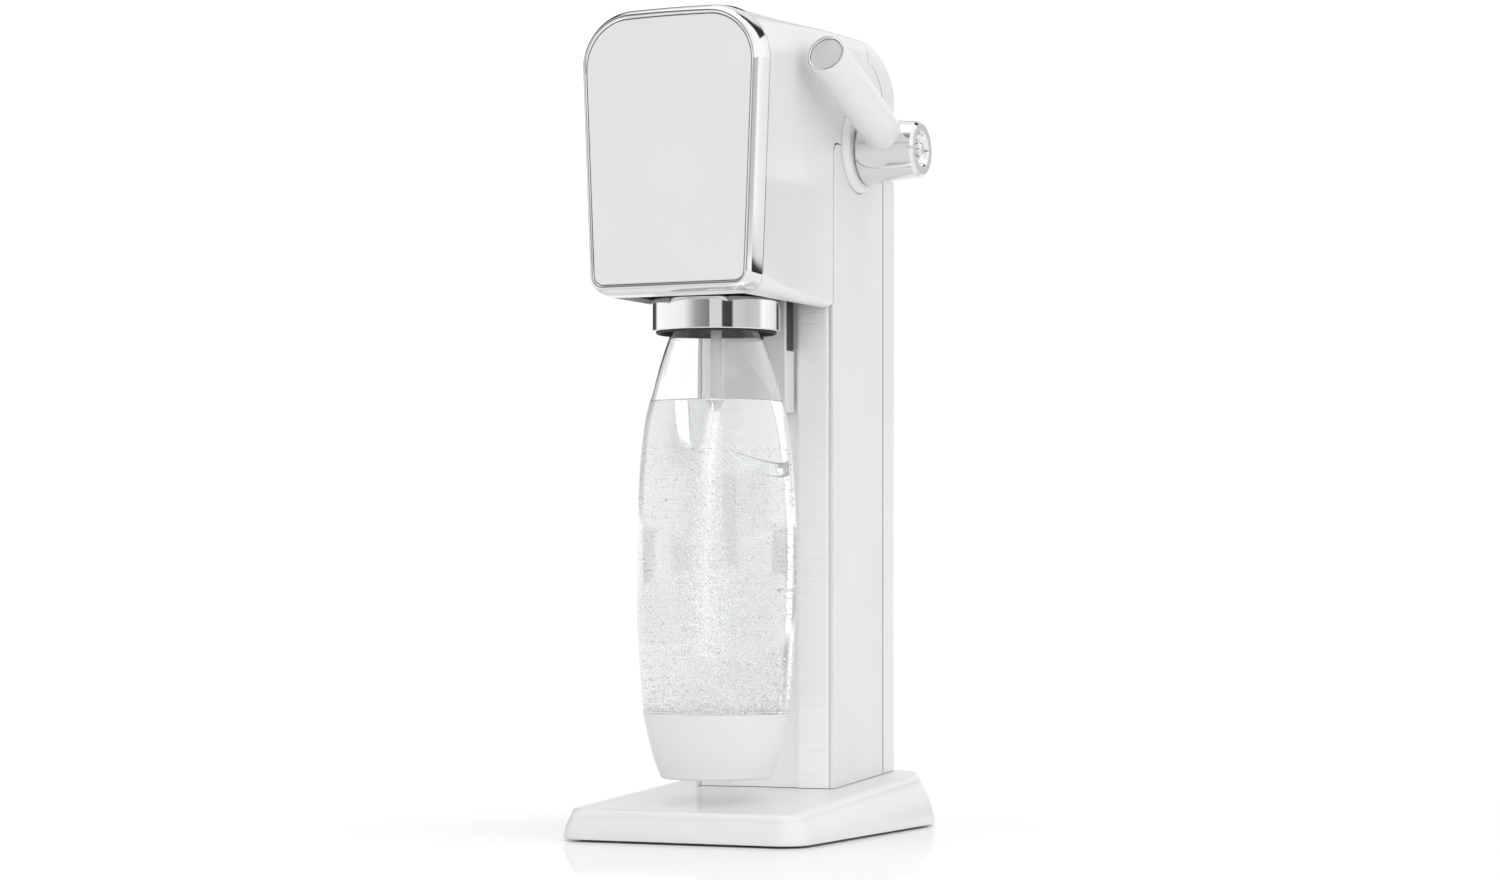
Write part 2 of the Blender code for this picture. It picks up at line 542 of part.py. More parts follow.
def make_push_rod(steel):
    """Push rod under the cam, and the spring that lifts it."""
    top = cam_bottom() - GAP
    axis = pivot("push_rod_slide", (0, HUB_Y, top))
    shape = [(0, VALVE_TOP_Z + 6.2 * MM), (3.5 * MM, VALVE_TOP_Z + 6.2 * MM), (3.5 * MM, top - 3.5 * MM),
             (7.2 * MM, top - 3.5 * MM), (7.2 * MM, top), (0, top)]
    add("push_rod", turned(shape, 20, (0, HUB_Y, 0)), steel, axis)
    wire, turns, per_turn, coil_r = 0.6 * MM, 3, 10, 5.6 * MM
    low, high = CHASSIS_Z1 + GAP + wire, top - 3.5 * MM - GAP - wire
    count = turns * per_turn
    helix = []
    for i in range(count + 1):
        turn = math.tau * i / per_turn
        helix.append((coil_r * math.cos(turn), HUB_Y + coil_r * math.sin(turn), low + (high - low) * i / count))
    add_tube("return_spring", helix, wire, steel)


def make_gas_system(paint, brass, dark, black):
    """Gas cylinder, its valve and seat, the valve block and the hose to the nozzle."""
    r, z0, z1 = CYLINDER_R, CYLINDER_Z0, CYLINDER_Z1
    thick = 4 * MM
    shoulder = [(14 * MM + (r - 14 * MM) * math.cos(math.radians(a)),
                 252.5 * MM + 32 * MM * math.sin(math.radians(a))) for a in (0, 26, 52, 78)]
    outside = [(0, z0), (r - 4 * MM, z0), (r, z0 + 4 * MM)] + shoulder + [(14 * MM, z1)]
    inside = [(10 * MM, z1), (11 * MM, 280.5 * MM)]
    inside += [(max(11 * MM, x - thick), z - thick) for x, z in reversed(shoulder[:3])]
    inside += [(r - thick, z0 + 8 * MM), (r - thick - 4 * MM, z0 + thick), (0, z0 + thick)]
    add("gas_cylinder", turned(outside + inside, 24, (0, HUB_Y, 0)), paint)
    top = VALVE_TOP_Z
    valve = [(0, z1 - 8 * MM), (9.6 * MM, z1 - 8 * MM), (9.6 * MM, z1 + GAP), (12.5 * MM, z1 + GAP),
             (12.5 * MM, top), (2 * MM, top), (2 * MM, top + 3 * MM), (0, top + 3 * MM)]
    add("cylinder_valve", turned(valve, 20, (0, HUB_Y, 0)), brass)
    low = COVER_THICK + GAP
    seat = [(0, low), (32.7 * MM, low), (32.7 * MM, 17 * MM), (30.6 * MM, 17 * MM), (30.6 * MM, z0 - GAP), (0, z0 - GAP)]
    add("cylinder_seat", turned(seat, 24, (0, HUB_Y, 0)), black)

    block = add("valve_block", box((-20 * MM, 29 * MM, BLOCK_Z0), (20 * MM, 65 * MM, BLOCK_Z1)), dark)
    carve(block, rod(13.3 * MM, (0, HUB_Y, BLOCK_Z0 - 2 * MM), (0, HUB_Y, top + 1 * MM), 28))
    carve(block, rod(4 * MM, (0, HUB_Y, top - 1 * MM), (0, HUB_Y, BLOCK_Z1 + 2 * MM), 20))
    for side in (-1, 1):
        start, end = (side * 18 * MM, YOKE_Y, YOKE_Z), (side * 27 * MM, YOKE_Y, YOKE_Z)
        carve(block, rod(3 * MM, start, end, 16), "UNION")

    guide = [Vector(p) * MM for p in ((20.4, 38, 334.5), (27, 37, 334.5), (32.5, 27, 331.5), (34.5, 4, 321.5),
                                      (35.5, -24, 309.5), (36.5, -42, 304), (35, -49.5, 303.5), (29.5, -50, 303.5))]
    add_tube("gas_hose", smooth_path(guide, 4), 2.8 * MM, black)


def smooth_path(points, between):
    """Catmull-Rom curve through the points."""
    line = [2 * points[0] - points[1]] + points + [2 * points[-1] - points[-2]]
    made = []
    for a, b, c, d in zip(line, line[1:], line[2:], line[3:]):
        for i in range(between):
            t = i / between
            made.append(0.5 * ((2 * b) + (c - a) * t + (2 * a - 5 * b + 4 * c - d) * t * t
                               + (3 * b - a - 3 * c + d) * t ** 3))
    return made + [points[-1]]


def add_tube(name, path, radius, finish):
    """A round flexible tube along a path, as a bevelled curve."""
    line = bpy.data.curves.new(name, "CURVE")
    line.dimensions = "3D"
    line.bevel_depth = radius
    line.bevel_resolution = 1
    line.use_fill_caps = True
    spline = line.splines.new("POLY")
    spline.points.add(len(path) - 1)
    for point, place in zip(spline.points, path):
        point.co = (*place, 1)
    line.materials.append(finish)
    item = bpy.data.objects.new(name, line)
    bpy.context.collection.objects.link(item)
    return item


def make_chassis(dark, bronze):
    """Inner frame: a deck with cheeks for the lever shaft and for the carrier's pins, and two bushings."""
    deck = [(-27, -64), (27, -64), (27, 17), (38, 17), (38, 64), (-38, 64), (-38, 17), (-27, 17)]
    chassis = add("chassis", prism([(x * MM, y * MM, CHASSIS_Z0) for x, y in deck],
                                   (0, 0, CHASSIS_Z1 - CHASSIS_Z0)), dark)
    lap = 1 * MM
    for side in (-1, 1):
        x0, x1 = sorted((side * 24 * MM, side * 26.9 * MM))
        carve(chassis, box((x0, -60 * MM, 296.5 * MM), (x1, -40 * MM, CHASSIS_Z0 + lap)), "UNION")
        x0, x1 = sorted((side * 31 * MM, side * 34 * MM))
        carve(chassis, box((x0, 32 * MM, CHASSIS_Z1 - lap), (x1, 62 * MM, 382.5 * MM)), "UNION")
    pin_hole, bush_hole = 4 * MM + GAP, 8 * MM + GAP
    carve(chassis, rod(pin_hole, (-40 * MM, BOTTLE_Y, PIVOT_Z), (40 * MM, BOTTLE_Y, PIVOT_Z), 20))
    carve(chassis, rod(bush_hole, (-40 * MM, HUB_Y, HUB_Z), (40 * MM, HUB_Y, HUB_Z), 24))
    carve(chassis, rod(4.5 * MM, (0, HUB_Y, CHASSIS_Z0 - lap), (0, HUB_Y, CHASSIS_Z1 + lap), 20))
    for name, side in (("bushing_left", -1), ("bushing_right", 1)):
        ends = sorted((side * 29.5 * MM, side * 35.5 * MM))
        ring = [(SHAFT_R + 0.1 * MM, ends[0]), (8 * MM, ends[0]), (8 * MM, ends[1]), (SHAFT_R + 0.1 * MM, ends[1])]
        add(name, turned(ring, 24, (0, HUB_Y, HUB_Z), ALONG_X), bronze)


def make_yoke(red):
    """Quick-connect yoke: two arms on the valve block's pins and the handle bar behind."""
    axis = pivot("yoke_axis", (0, YOKE_Y, YOKE_Z))
    half = [(20.6, 53), (26, 53), (26, 91), (23, 94), (0, 94), (0, 86), (20.6, 86)]
    plan = half[:4] + [(-x, y) for x, y in reversed(half[:4])] + [(-20.6, 86), (20.6, 86)]
    yoke = add("quick_connect_yoke", prism([(x * MM, y * MM, YOKE_Z - 4.5 * MM) for x, y in plan],
                                           (0, 0, 9 * MM)), red, axis)
    carve(yoke, rod(3 * MM + GAP, (-30 * MM, YOKE_Y, YOKE_Z), (30 * MM, YOKE_Y, YOKE_Z), 16))


def make_carrier(steel, dark, black, white, brass, tube_grey):
    """Everything that tilts with the bottle: collar, cup, bracket, guard, nozzle and its fittings."""
    axis = pivot("carrier_axis", (0, BOTTLE_Y, PIVOT_Z))
    centre = (0, BOTTLE_Y, 0)
    r, z0, z1 = COLLAR_R, COLLAR_Z0, COLLAR_Z1
    ring = [(r - 2.2 * MM, z0 + 0.4 * MM), (r - 1.8 * MM, z0), (r - 0.4 * MM, z0), (r, z0 + 0.4 * MM),
            (r, z1 - 0.4 * MM), (r - 0.4 * MM, z1), (r - 2.2 * MM, z1)]
    add("collar_ring", turned(ring, 32, centre), steel, axis)
    wide = r - 2.2 * MM - GAP
    liner = [(TUBE_R + GAP, CUP_CEILING_Z), (24 * MM, CUP_CEILING_Z), (26 * MM, 276.5 * MM), (30 * MM, z0 - 1 * MM),
             (wide, z0 - 1 * MM), (wide, CUP_TOP_Z), (TUBE_R + GAP, CUP_TOP_Z)]
    add("carrier_cup", turned(liner, 28, centre), black, axis)
    seal = [(TUBE_R + GAP, MOUTH_Z + GAP), (13 * MM, MOUTH_Z + GAP), (15 * MM, CUP_CEILING_Z - GAP),
            (TUBE_R + GAP, CUP_CEILING_Z - GAP)]
    add("nozzle_seal", turned(seal, 20, centre), black, axis)
    top = 298.5 * MM
    bore = 1.2 * MM
    tube = [(bore, TUBE_TIP_Z), (TUBE_R - 1.2 * MM, TUBE_TIP_Z), (TUBE_R, TUBE_TIP_Z + 3 * MM), (TUBE_R, top),
            (bore, top)]
    add("nozzle_tube", turned(tube, 16, centre), tube_grey, axis)
    low = CUP_TOP_Z + GAP
    body = [(0, top + GAP), (TUBE_R + GAP, top + GAP), (TUBE_R + GAP, low), (10 * MM, low), (13 * MM, low + 4 * MM),
            (13 * MM, 311.5 * MM), (10 * MM, 314.5 * MM), (0, 314.5 * MM)]
    add("nozzle_body", turned(body, 20, centre), dark, axis)
    relief = [(0, 314.8), (5, 314.8), (5, 320.5), (3.4, 321.5), (3.4, 326.5), (0, 326.5)]
    add("relief_valve", turned([(a * MM, b * MM) for a, b in relief], 16, centre), brass, axis)
    for name, side in (("pivot_pin_left", -1), ("pivot_pin_right", 1)):
        start, end = (side * 13.4 * MM, BOTTLE_Y, PIVOT_Z), (side * 29.1 * MM, BOTTLE_Y, PIVOT_Z)
        add(name, rod(4 * MM, start, end, 20), brass, axis)

    w, split = GUARD_HALF_WIDTH, GUARD_SPLIT_Z
    back, front = COLUMN_FRONT_Y - 0.6 * MM, -2 * MM
    skin_y, arm_top, arm_front = front + 2.2 * MM, 294.5 * MM, -35 * MM
    narrow = w - 0.6 * MM
    side = [(back, split), (back, arm_top), (arm_front, arm_top), (arm_front, low), (skin_y + GAP, low),
            (skin_y + GAP, split)]
    add("carrier_bracket", prism([(-narrow, y, z) for y, z in side], (2 * narrow, 0, 0)), steel, axis)
    side = [(back - 1 * MM, GUARD_Z0), (back, GUARD_Z0 + 1 * MM), (back, split - GAP), (skin_y, split - GAP),
            (skin_y, low - GAP), (front, low - GAP), (front, GUARD_Z0 + 1 * MM), (front + 1 * MM, GUARD_Z0)]
    add("carrier_guard", prism([(-w, y, z) for y, z in side], (2 * w, 0, 0)), white, axis)
    return axis


def make_bottle(clear, white, carrier):
    """Bottle and the foot cup that it stands in."""
    axis = pivot("bottle_axis", (0, BOTTLE_Y, MOUTH_Z))
    axis.parent = carrier
    axis.matrix_parent_inverse = Matrix.Translation(-carrier.location)
    centre = (0, BOTTLE_Y, 0)
    t = BOTTLE_WALL
    wall = [(r * MM, z * MM) for r, z in BOTTLE_SIDE]
    hidden = [(r * MM - 2.4 * MM, z * MM) for r, z in CUP_SIDE[:4]] + [(26 * MM, 33.9 * MM)]
    outside = [(r, z) for r, z in wall] + hidden + [(0, 33.9 * MM)]
    inside = [(0, 33.9 * MM + t), (26 * MM - t, 33.9 * MM + t)]
    inside += [(r - t, z) for r, z in reversed(hidden[:-1])]
    inside += [(r - t, z) for r, z in reversed(wall[2:])] + [(12 * MM, 274.5 * MM), (11 * MM, MOUTH_Z)]
    add("bottle", turned(outside + inside, 32, centre), clear, axis)
    skirt = [(r * MM, z * MM) for r, z in CUP_SIDE] + [(0, BOTTLE_FOOT_Z)]
    lining = [(0, 33.5 * MM), (26.2 * MM, 33.5 * MM)]
    lining += [(r * MM - 2.1 * MM, z * MM) for r, z in reversed(CUP_SIDE[:4])]
    add("bottle_cup", turned(skirt + lining, 32, centre), white, axis)


def main():
    clear_scene()
    white = material("white_gloss", (0.86, 0.87, 0.88), 0.16)
    satin = material("white_satin", (0.84, 0.85, 0.86), 0.32)
    face_white = material("face_white", (0.88, 0.89, 0.90), 0.22)
    grey = material("grey_plastic", (0.45, 0.46, 0.47), 0.5)
    dark = material("dark_plastic", (0.06, 0.06, 0.065), 0.45)
    black = material("black_rubber", (0.02, 0.02, 0.02), 0.7)
    chrome = material("chrome", (0.86, 0.87, 0.88), 0.06, 1.0)
    silver = material("silver_disc", (0.84, 0.85, 0.86), 0.28, 0.6)
    steel = material("brushed_steel", (0.62, 0.62, 0.61), 0.28, 1.0)
    brass = material("brass", (0.78, 0.58, 0.26), 0.28, 1.0)
    paint = material("cylinder_paint", (0.55, 0.57, 0.60), 0.35, 0.2)
    red = material("latch_plastic", (0.75, 0.22, 0.36), 0.4)
    clear = material("bottle_clear", (0.96, 0.98, 0.98), 0.03, 0.0, 0.3)
    tube_grey = material("tube_plastic", (0.75, 0.76, 0.77), 0.3)

    make_base(white, grey, black, steel)
    make_column(satin)
    make_head(white, dark, chrome, face_white)
    make_rear_cover(white)
    make_cover_button(satin)
    make_lever(white, chrome, steel, silver, dark)
    make_push_rod(steel)
    make_gas_system(paint, brass, dark, black)
    make_chassis(dark, brass)
    make_yoke(red)
    carrier = make_carrier(steel, dark, black, satin, brass, tube_grey)
    make_bottle(clear, white, carrier)


main()
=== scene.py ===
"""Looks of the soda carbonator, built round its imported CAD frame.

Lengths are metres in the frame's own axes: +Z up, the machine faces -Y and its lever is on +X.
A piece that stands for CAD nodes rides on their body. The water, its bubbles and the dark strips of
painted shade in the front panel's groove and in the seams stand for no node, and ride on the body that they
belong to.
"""
import json
import math
import random

import bmesh
import bpy
from mathutils import Matrix, Vector


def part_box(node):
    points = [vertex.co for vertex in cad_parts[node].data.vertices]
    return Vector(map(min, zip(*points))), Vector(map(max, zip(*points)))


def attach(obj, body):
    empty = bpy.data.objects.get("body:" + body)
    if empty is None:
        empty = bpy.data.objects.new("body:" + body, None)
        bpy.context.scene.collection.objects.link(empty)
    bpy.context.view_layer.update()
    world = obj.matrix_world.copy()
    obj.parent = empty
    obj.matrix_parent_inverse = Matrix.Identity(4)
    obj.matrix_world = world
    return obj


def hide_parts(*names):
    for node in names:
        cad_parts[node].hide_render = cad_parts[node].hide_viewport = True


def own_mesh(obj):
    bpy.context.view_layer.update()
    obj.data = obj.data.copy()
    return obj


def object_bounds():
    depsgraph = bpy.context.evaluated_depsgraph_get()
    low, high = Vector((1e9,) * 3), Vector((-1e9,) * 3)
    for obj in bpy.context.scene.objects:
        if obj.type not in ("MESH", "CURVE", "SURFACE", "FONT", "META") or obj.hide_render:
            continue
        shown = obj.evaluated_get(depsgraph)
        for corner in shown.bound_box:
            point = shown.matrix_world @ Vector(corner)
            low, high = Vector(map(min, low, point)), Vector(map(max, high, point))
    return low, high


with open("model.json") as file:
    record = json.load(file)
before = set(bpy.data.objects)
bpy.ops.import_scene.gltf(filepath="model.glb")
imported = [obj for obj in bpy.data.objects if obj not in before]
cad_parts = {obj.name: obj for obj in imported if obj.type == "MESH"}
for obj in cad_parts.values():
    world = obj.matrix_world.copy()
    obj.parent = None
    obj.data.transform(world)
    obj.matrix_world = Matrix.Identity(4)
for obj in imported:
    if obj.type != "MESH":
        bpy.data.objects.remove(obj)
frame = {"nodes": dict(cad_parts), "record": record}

CAD_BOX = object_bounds()
MM = 0.001
ALONG_X = (1, 0, 0)
UP = (0, 0, 1)
EVEN = (1, 1, 1)                    # a texture that isn't stretched
CAMERA_TURN = math.radians(24.7)    # bearing of the camera, from -Y towards +X
GAP = 0.3 * MM                      # clearance that the CAD leaves between neighbours
SHADOW_GAP = 0.7 * MM               # the visible seams between the housing's shells
WALL = 2.5 * MM
BODY_OF = {node: body for body, nodes in frame["record"]["behaviour"]["bodies"].items() for node in nodes}
SLOT_OF = {part["node"]: part["material_slot"] for part in frame["record"]["subparts"]}

# Base
BASE_LOW, BASE_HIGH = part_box("base_shell")
BASE_FRONT_CORNER_R, BASE_REAR_CORNER_R = 15 * MM, 24 * MM
BASE_SLOPE = 0.0664
BASE_FRONT_TOP_Z = 15.3 * MM
BASE_DRAFT = math.tan(math.radians(20))
BASE_RIM_Z = 1.2 * MM
BASE_EDGE_R = 4 * MM
BASE_COVER_TOP_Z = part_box("base_cover")[1].z

# Column and rear cover
COLUMN_LOW, COLUMN_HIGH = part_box("column_shell")
PANEL_LOW, PANEL_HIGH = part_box("column_front_panel")
CHANNEL_HALF_WIDTH, CHANNEL_DEPTH = 19.2 * MM, 1.2 * MM
RIB_PITCH = 6.1 * MM
COVER_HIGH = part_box("rear_cover")[1]
COVER_REAR_Y = COVER_HIGH.y
COVER_ARC_R, COVER_CORNER_R, COVER_SHOULDER_R = 38 * MM, 9 * MM, 10 * MM
SEAM_Y, SEAM_TOP_Y, SEAM_ARC_Z = 80 * MM, 56 * MM, 396.5 * MM

# Head
HEAD_LOW, HEAD_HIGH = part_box("head_shell")
HEAD_FRONT_Y, HEAD_SEAM_Y = HEAD_LOW.y, 10.6 * MM
HEAD_FRONT_TOP_Z, HEAD_TOP_RISE, HEAD_CROWN = 428.9 * MM, 0.0365, 1.4 * MM
HEAD_REAR_HALF_WIDTH = COLUMN_HIGH.x + 0.05 * MM
FACE_LOW, FACE_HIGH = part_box("front_panel")
FACE_TOP_HALF_WIDTH, FACE_BOTTOM_HALF_WIDTH = FACE_HIGH.x, 42.5 * MM
FACE_TOP_Z = FACE_HIGH.z - HEAD_CROWN
FACE_TOP_R, FACE_BOTTOM_R, FACE_WIDEST_BELOW_TOP = 23 * MM, 5 * MM, 27 * MM
FLARE, TOP_FLARE, BOTTOM_FLARE = 5 * MM, 6.2 * MM, 5.9 * MM

# Lever
HUB_LOW, HUB_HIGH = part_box("lever_hub")
HUB_CENTRE = Vector((0, (HUB_LOW.y + HUB_HIGH.y) / 2, (HUB_LOW.z + HUB_HIGH.z) / 2))
HUB_R0, HUB_R1 = (HUB_HIGH.y - HUB_LOW.y) / 2, 15.0 * MM
BOSS_LOW, BOSS_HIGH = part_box("hub_boss")
BOSS_CENTRE = Vector((0, (BOSS_LOW.y + BOSS_HIGH.y) / 2, (BOSS_LOW.z + BOSS_HIGH.z) / 2))
BOSS_R = (BOSS_HIGH.z - BOSS_LOW.z) / 2
ARM_FOOT, ARM_TIP, ARM_R = Vector((60, 33.5, 378.3)) * MM, Vector((60, -43.5, 410)) * MM, 10.7 * MM

# Bottle and carrier
BOTTLE_LOW, BOTTLE_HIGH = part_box("bottle")
BOTTLE_CENTRE = Vector((0, (BOTTLE_LOW.y + BOTTLE_HIGH.y) / 2, 0))
BOTTLE_WALL = 1.2 * MM
BOTTLE_FLOOR_Z = BOTTLE_LOW.z
CUP_RIM_Z = 65.2 * MM
WATER_Z = 229.2 * MM
TIP_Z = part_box("nozzle_tube")[0].z
CUP_SIDE = [(38.7, 65.2), (36.7, 55.5), (34.3, 45.5), (32, 38.5), (29.8, 33.1)]       # (radius, height) in mm
BOTTLE_SIDE = [(20.5, 269.5), (25.2, 262.4), (31, 245.5), (34.6, 232.5), (38, 218.5), (40.6, 196.5),
               (42.2, 168.5), (42.5, 143.5), (41.8, 112.5), (40.2, 86.5), (38.7, 65.7)]


# ---------------------------------------------------------------- materials

def node(tree, kind, inputs=(), **settings):
    """A shader node; each input is linked to a socket or set to a constant."""
    made = tree.nodes.new("ShaderNode" + kind)
    for key, value in settings.items():
        setattr(made, key, value)
    for socket, source in inputs:
        if isinstance(source, bpy.types.NodeSocket):
            tree.links.new(source, made.inputs[socket])
        else:
            made.inputs[socket].default_value = source
    return made


def ramp(tree, source, stops):
    """A colour ramp over (position, colour) stops."""
    made = node(tree, "ValToRGB", [("Fac", source)])
    elements = made.color_ramp.elements
    while len(elements) < len(stops):
        elements.new(0.5)
    for element, (position, colour) in zip(elements, stops):
        element.position = position
        element.color = (*colour, 1)
    return made.outputs["Color"]


def new_material(name, colour, roughness, metallic=0.0, **sockets):
    """A Principled material; extra sockets are given by their names with underscores for spaces."""
    made = bpy.data.materials.new(name)
    made.use_nodes = True
    sockets.update(Base_Color=(*colour, 1), Roughness=roughness, Metallic=metallic)
    for socket, value in sockets.items():
        made.node_tree.nodes["Principled BSDF"].inputs[socket.replace("_", " ")].default_value = value
    return made


def feed(made, source, socket):
    """Link an output to the material's shader."""
    tree = made.node_tree
    tree.links.new(source, tree.nodes["Principled BSDF"].inputs[socket])


def noise(made, scale, detail, stretch=EVEN):
    """A noise texture in the piece's own coordinates; scale is features per metre."""
    tree = made.node_tree
    place = node(tree, "TexCoord").outputs["Object"]
    mapping = node(tree, "Mapping", [("Vector", place), ("Scale", stretch)])
    inputs = [("Vector", mapping.outputs["Vector"]), ("Scale", scale), ("Detail", detail)]
    return node(tree, "TexNoise", inputs).outputs["Fac"]


def uneven(made, source, low, high):
    """Vary the roughness between low and high by a texture."""
    inputs = [("Value", source), ("From Min", 0.3), ("From Max", 0.7), ("To Min", low), ("To Max", high)]
    feed(made, node(made.node_tree, "MapRange", inputs).outputs["Result"], "Roughness")


def tint(made, source, dark, light):
    """Vary the base colour between two colours by a texture."""
    feed(made, ramp(made.node_tree, source, [(0.32, dark), (0.68, light)]), "Base Color")


def relief(made, source, height_mm, strength):
    """Bump from a texture."""
    inputs = [("Height", source), ("Distance", height_mm * MM), ("Strength", strength)]
    feed(made, node(made.node_tree, "Bump", inputs).outputs["Normal"], "Normal")


def moulded(name, colour, roughness, texture_mm, height_mm, coat=0.0, metallic=0.0):
    """Moulded plastic: faint mottling, uneven gloss and a fine surface texture."""
    made = new_material(name, colour, roughness, metallic, Coat_Weight=coat, Coat_Roughness=0.06, IOR=1.49)
    tint(made, noise(made, 22, 2), [c * 0.982 for c in colour], [min(1, c * 1.012) for c in colour])
    uneven(made, noise(made, 60, 2), roughness * 0.94, roughness * 1.06)
    relief(made, noise(made, 1000 / texture_mm, 2), height_mm, 0.5)
    return made


def metal(name, colour, low, high, grain, stretch, height_mm):
    """Bare or plated metal, with a grain along or round the piece."""
    made = new_material(name, colour, low, 1.0)
    lines = noise(made, grain, 5, stretch)
    uneven(made, lines, low, high)
    tint(made, noise(made, 60, 3), [c * 0.97 for c in colour], colour)
    relief(made, lines, height_mm, 0.35)
    return made


def clear(name, colour, ior, ripple_mm, height_mm, painted_glow=0.0):
    """Clear plastic or water with a faint ripple in its surface, and a painted glow if asked for: a faint
    light of its own, though it is no lamp.
    """
    made = new_material(name, colour, 0, Transmission_Weight=1.0, IOR=ior, Emission_Color=(1, 1, 1, 1),
                        Emission_Strength=painted_glow)
    relief(made, noise(made, 1000 / ripple_mm, 1), height_mm, 0.5)
    made.cycles.emission_sampling = "NONE"
    return made


def foam(name, colour):
    """Froth of tiny bubbles, white as they scatter all the light, and with a painted glow: a faint light of
    its own, though it is no lamp.
    """
    # The emission is painted light: the froth glows faintly by itself.
    made = new_material(name, colour, 0.35, IOR=1.2, Emission_Color=(1, 1, 1, 1), Emission_Strength=0.12)
    uneven(made, noise(made, 400, 2), 0.28, 0.45)
    made.cycles.emission_sampling = "NONE"
    return made


# Kind and values of each material: those of the record's slots, then those of pieces that have no slot.
RECIPES = {
    "white_gloss": (moulded, (0.735, 0.735, 0.74), 0.30, 6.0, 0.002, 0.2),
    "white_satin": (moulded, (0.73, 0.73, 0.735), 0.40, 1.2, 0.012),
    # A little darker than the other whites: painted shade on the head's front panel.
    "face_white": (moulded, (0.70, 0.70, 0.705), 0.24, 6.0, 0.0015, 0.15),
    "grey_plastic": (moulded, (0.42, 0.43, 0.44), 0.55, 0.7, 0.03),
    "dark_plastic": (moulded, (0.055, 0.055, 0.06), 0.4, 0.8, 0.02),
    "black_rubber": (moulded, (0.022, 0.022, 0.024), 0.68, 0.5, 0.03),
    "latch_plastic": (moulded, (0.62, 0.10, 0.20), 0.34, 1.0, 0.01),
    "tube_plastic": (moulded, (0.72, 0.72, 0.73), 0.22, 1.5, 0.006, 0.3),
    "cylinder_paint": (moulded, (0.50, 0.52, 0.55), 0.25, 0.9, 0.015, 0.5),
    "silver_disc": (moulded, (0.76, 0.76, 0.765), 0.25, 5.0, 0.0005, 0.2, 0.4),
    "chrome": (metal, (0.79, 0.79, 0.795), 0.035, 0.085, 90, EVEN, 0.002),
    "brushed_steel": (metal, (0.80, 0.80, 0.795), 0.04, 0.09, 60, (1, 1, 60), 0.001),
    "brass": (metal, (0.80, 0.60, 0.30), 0.16, 0.30, 60, (1, 1, 30), 0.006),
    "bottle_clear": (clear, (0.985, 0.99, 0.99), 1.5, 34, 0.10),
    # Brighter than the other whites: painted light on the column front, which the head's overhang shades.
    "ribbed_white_painted_light": (moulded, (0.87, 0.87, 0.87), 0.40, 1.2, 0.012),
    # The water's last value is a painted glow: a faint light of its own that brightens it.
    "water": (clear, (0.99, 0.995, 1.0), 1.33, 12, 0.02, 0.04),
    "bubble_wall": (clear, (0.99, 0.995, 1.0), 1.33, 12, 0.02),
    "foam": (foam, (0.97, 0.97, 0.97)),
}
MATERIALS = {name: kind(name, *values) for name, (kind, *values) in RECIPES.items()}


# ---------------------------------------------------------------- mesh tools

def to_data(name, mesh):
    """Turn a bmesh into mesh data; it is used up."""
    data = bpy.data.meshes.new(name)
    mesh.to_mesh(data)
    mesh.free()
    return data


def link(name, data):
    """A new object in the scene."""
    item = bpy.data.objects.new(name, data)
    bpy.context.scene.collection.objects.link(item)
    return item


def add(name, mesh, nodes, finish=None, sharp=40, body=None):
    """Turn a bmesh into a finished piece that stands for some CAD nodes."""
    bmesh.ops.recalc_face_normals(mesh, faces=mesh.faces)
    return place(name, to_data(name, mesh), nodes, finish, sharp, body)


def place(name, data, nodes, finish=None, sharp=40, body=None):
    """Give a mesh its finish, put it on its body and hide the CAD nodes that it stands for."""
    nodes = [nodes] if isinstance(nodes, str) else list(nodes)
    slot = SLOT_OF[nodes[0]] if nodes else finish
    data.shade_smooth()
    data.set_sharp_from_angle(angle=math.radians(sharp))
    item = link(name, data)
    data.materials.append(MATERIALS[finish or slot])
    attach(item, body or BODY_OF[nodes[0]])
    if nodes:
        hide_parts(*nodes)
    return item


def cut(item, mesh):
    """Cut a closed shape away from a piece and keep the result as its mesh."""
    bmesh.ops.recalc_face_normals(mesh, faces=mesh.faces)
    tool = link("tool", to_data("tool", mesh))
    change = item.modifiers.new("shape", "BOOLEAN")
    change.operation = "DIFFERENCE"
    change.solver = "EXACT"
    change.object = tool
    bpy.context.view_layer.update()
    made = bpy.data.meshes.new_from_object(item.evaluated_get(bpy.context.evaluated_depsgraph_get()))
    item.modifiers.clear()
    old, item.data = item.data, made
    made.name = item.name
    bpy.data.meshes.remove(old)
    bpy.data.meshes.remove(tool.data)


def soften(item, width, segments=3, angle=35):
    """Round the piece's sharp edges, and keep its flat faces flat."""
    bevel = item.modifiers.new("edges", "BEVEL")
    bevel.width = width
    bevel.segments = segments
    bevel.limit_method = "ANGLE"
    bevel.angle_limit = math.radians(angle)
    bevel.harden_normals = True
    item.data.shade_smooth()
    return item


def arc(centre, radius, start, end, count):
    """Points along an arc; angles in degrees."""
    turns = [math.radians(start + (end - start) * i / count) for i in range(count + 1)]
    return [(centre[0] + radius * math.cos(t), centre[1] + radius * math.sin(t)) for t in turns]


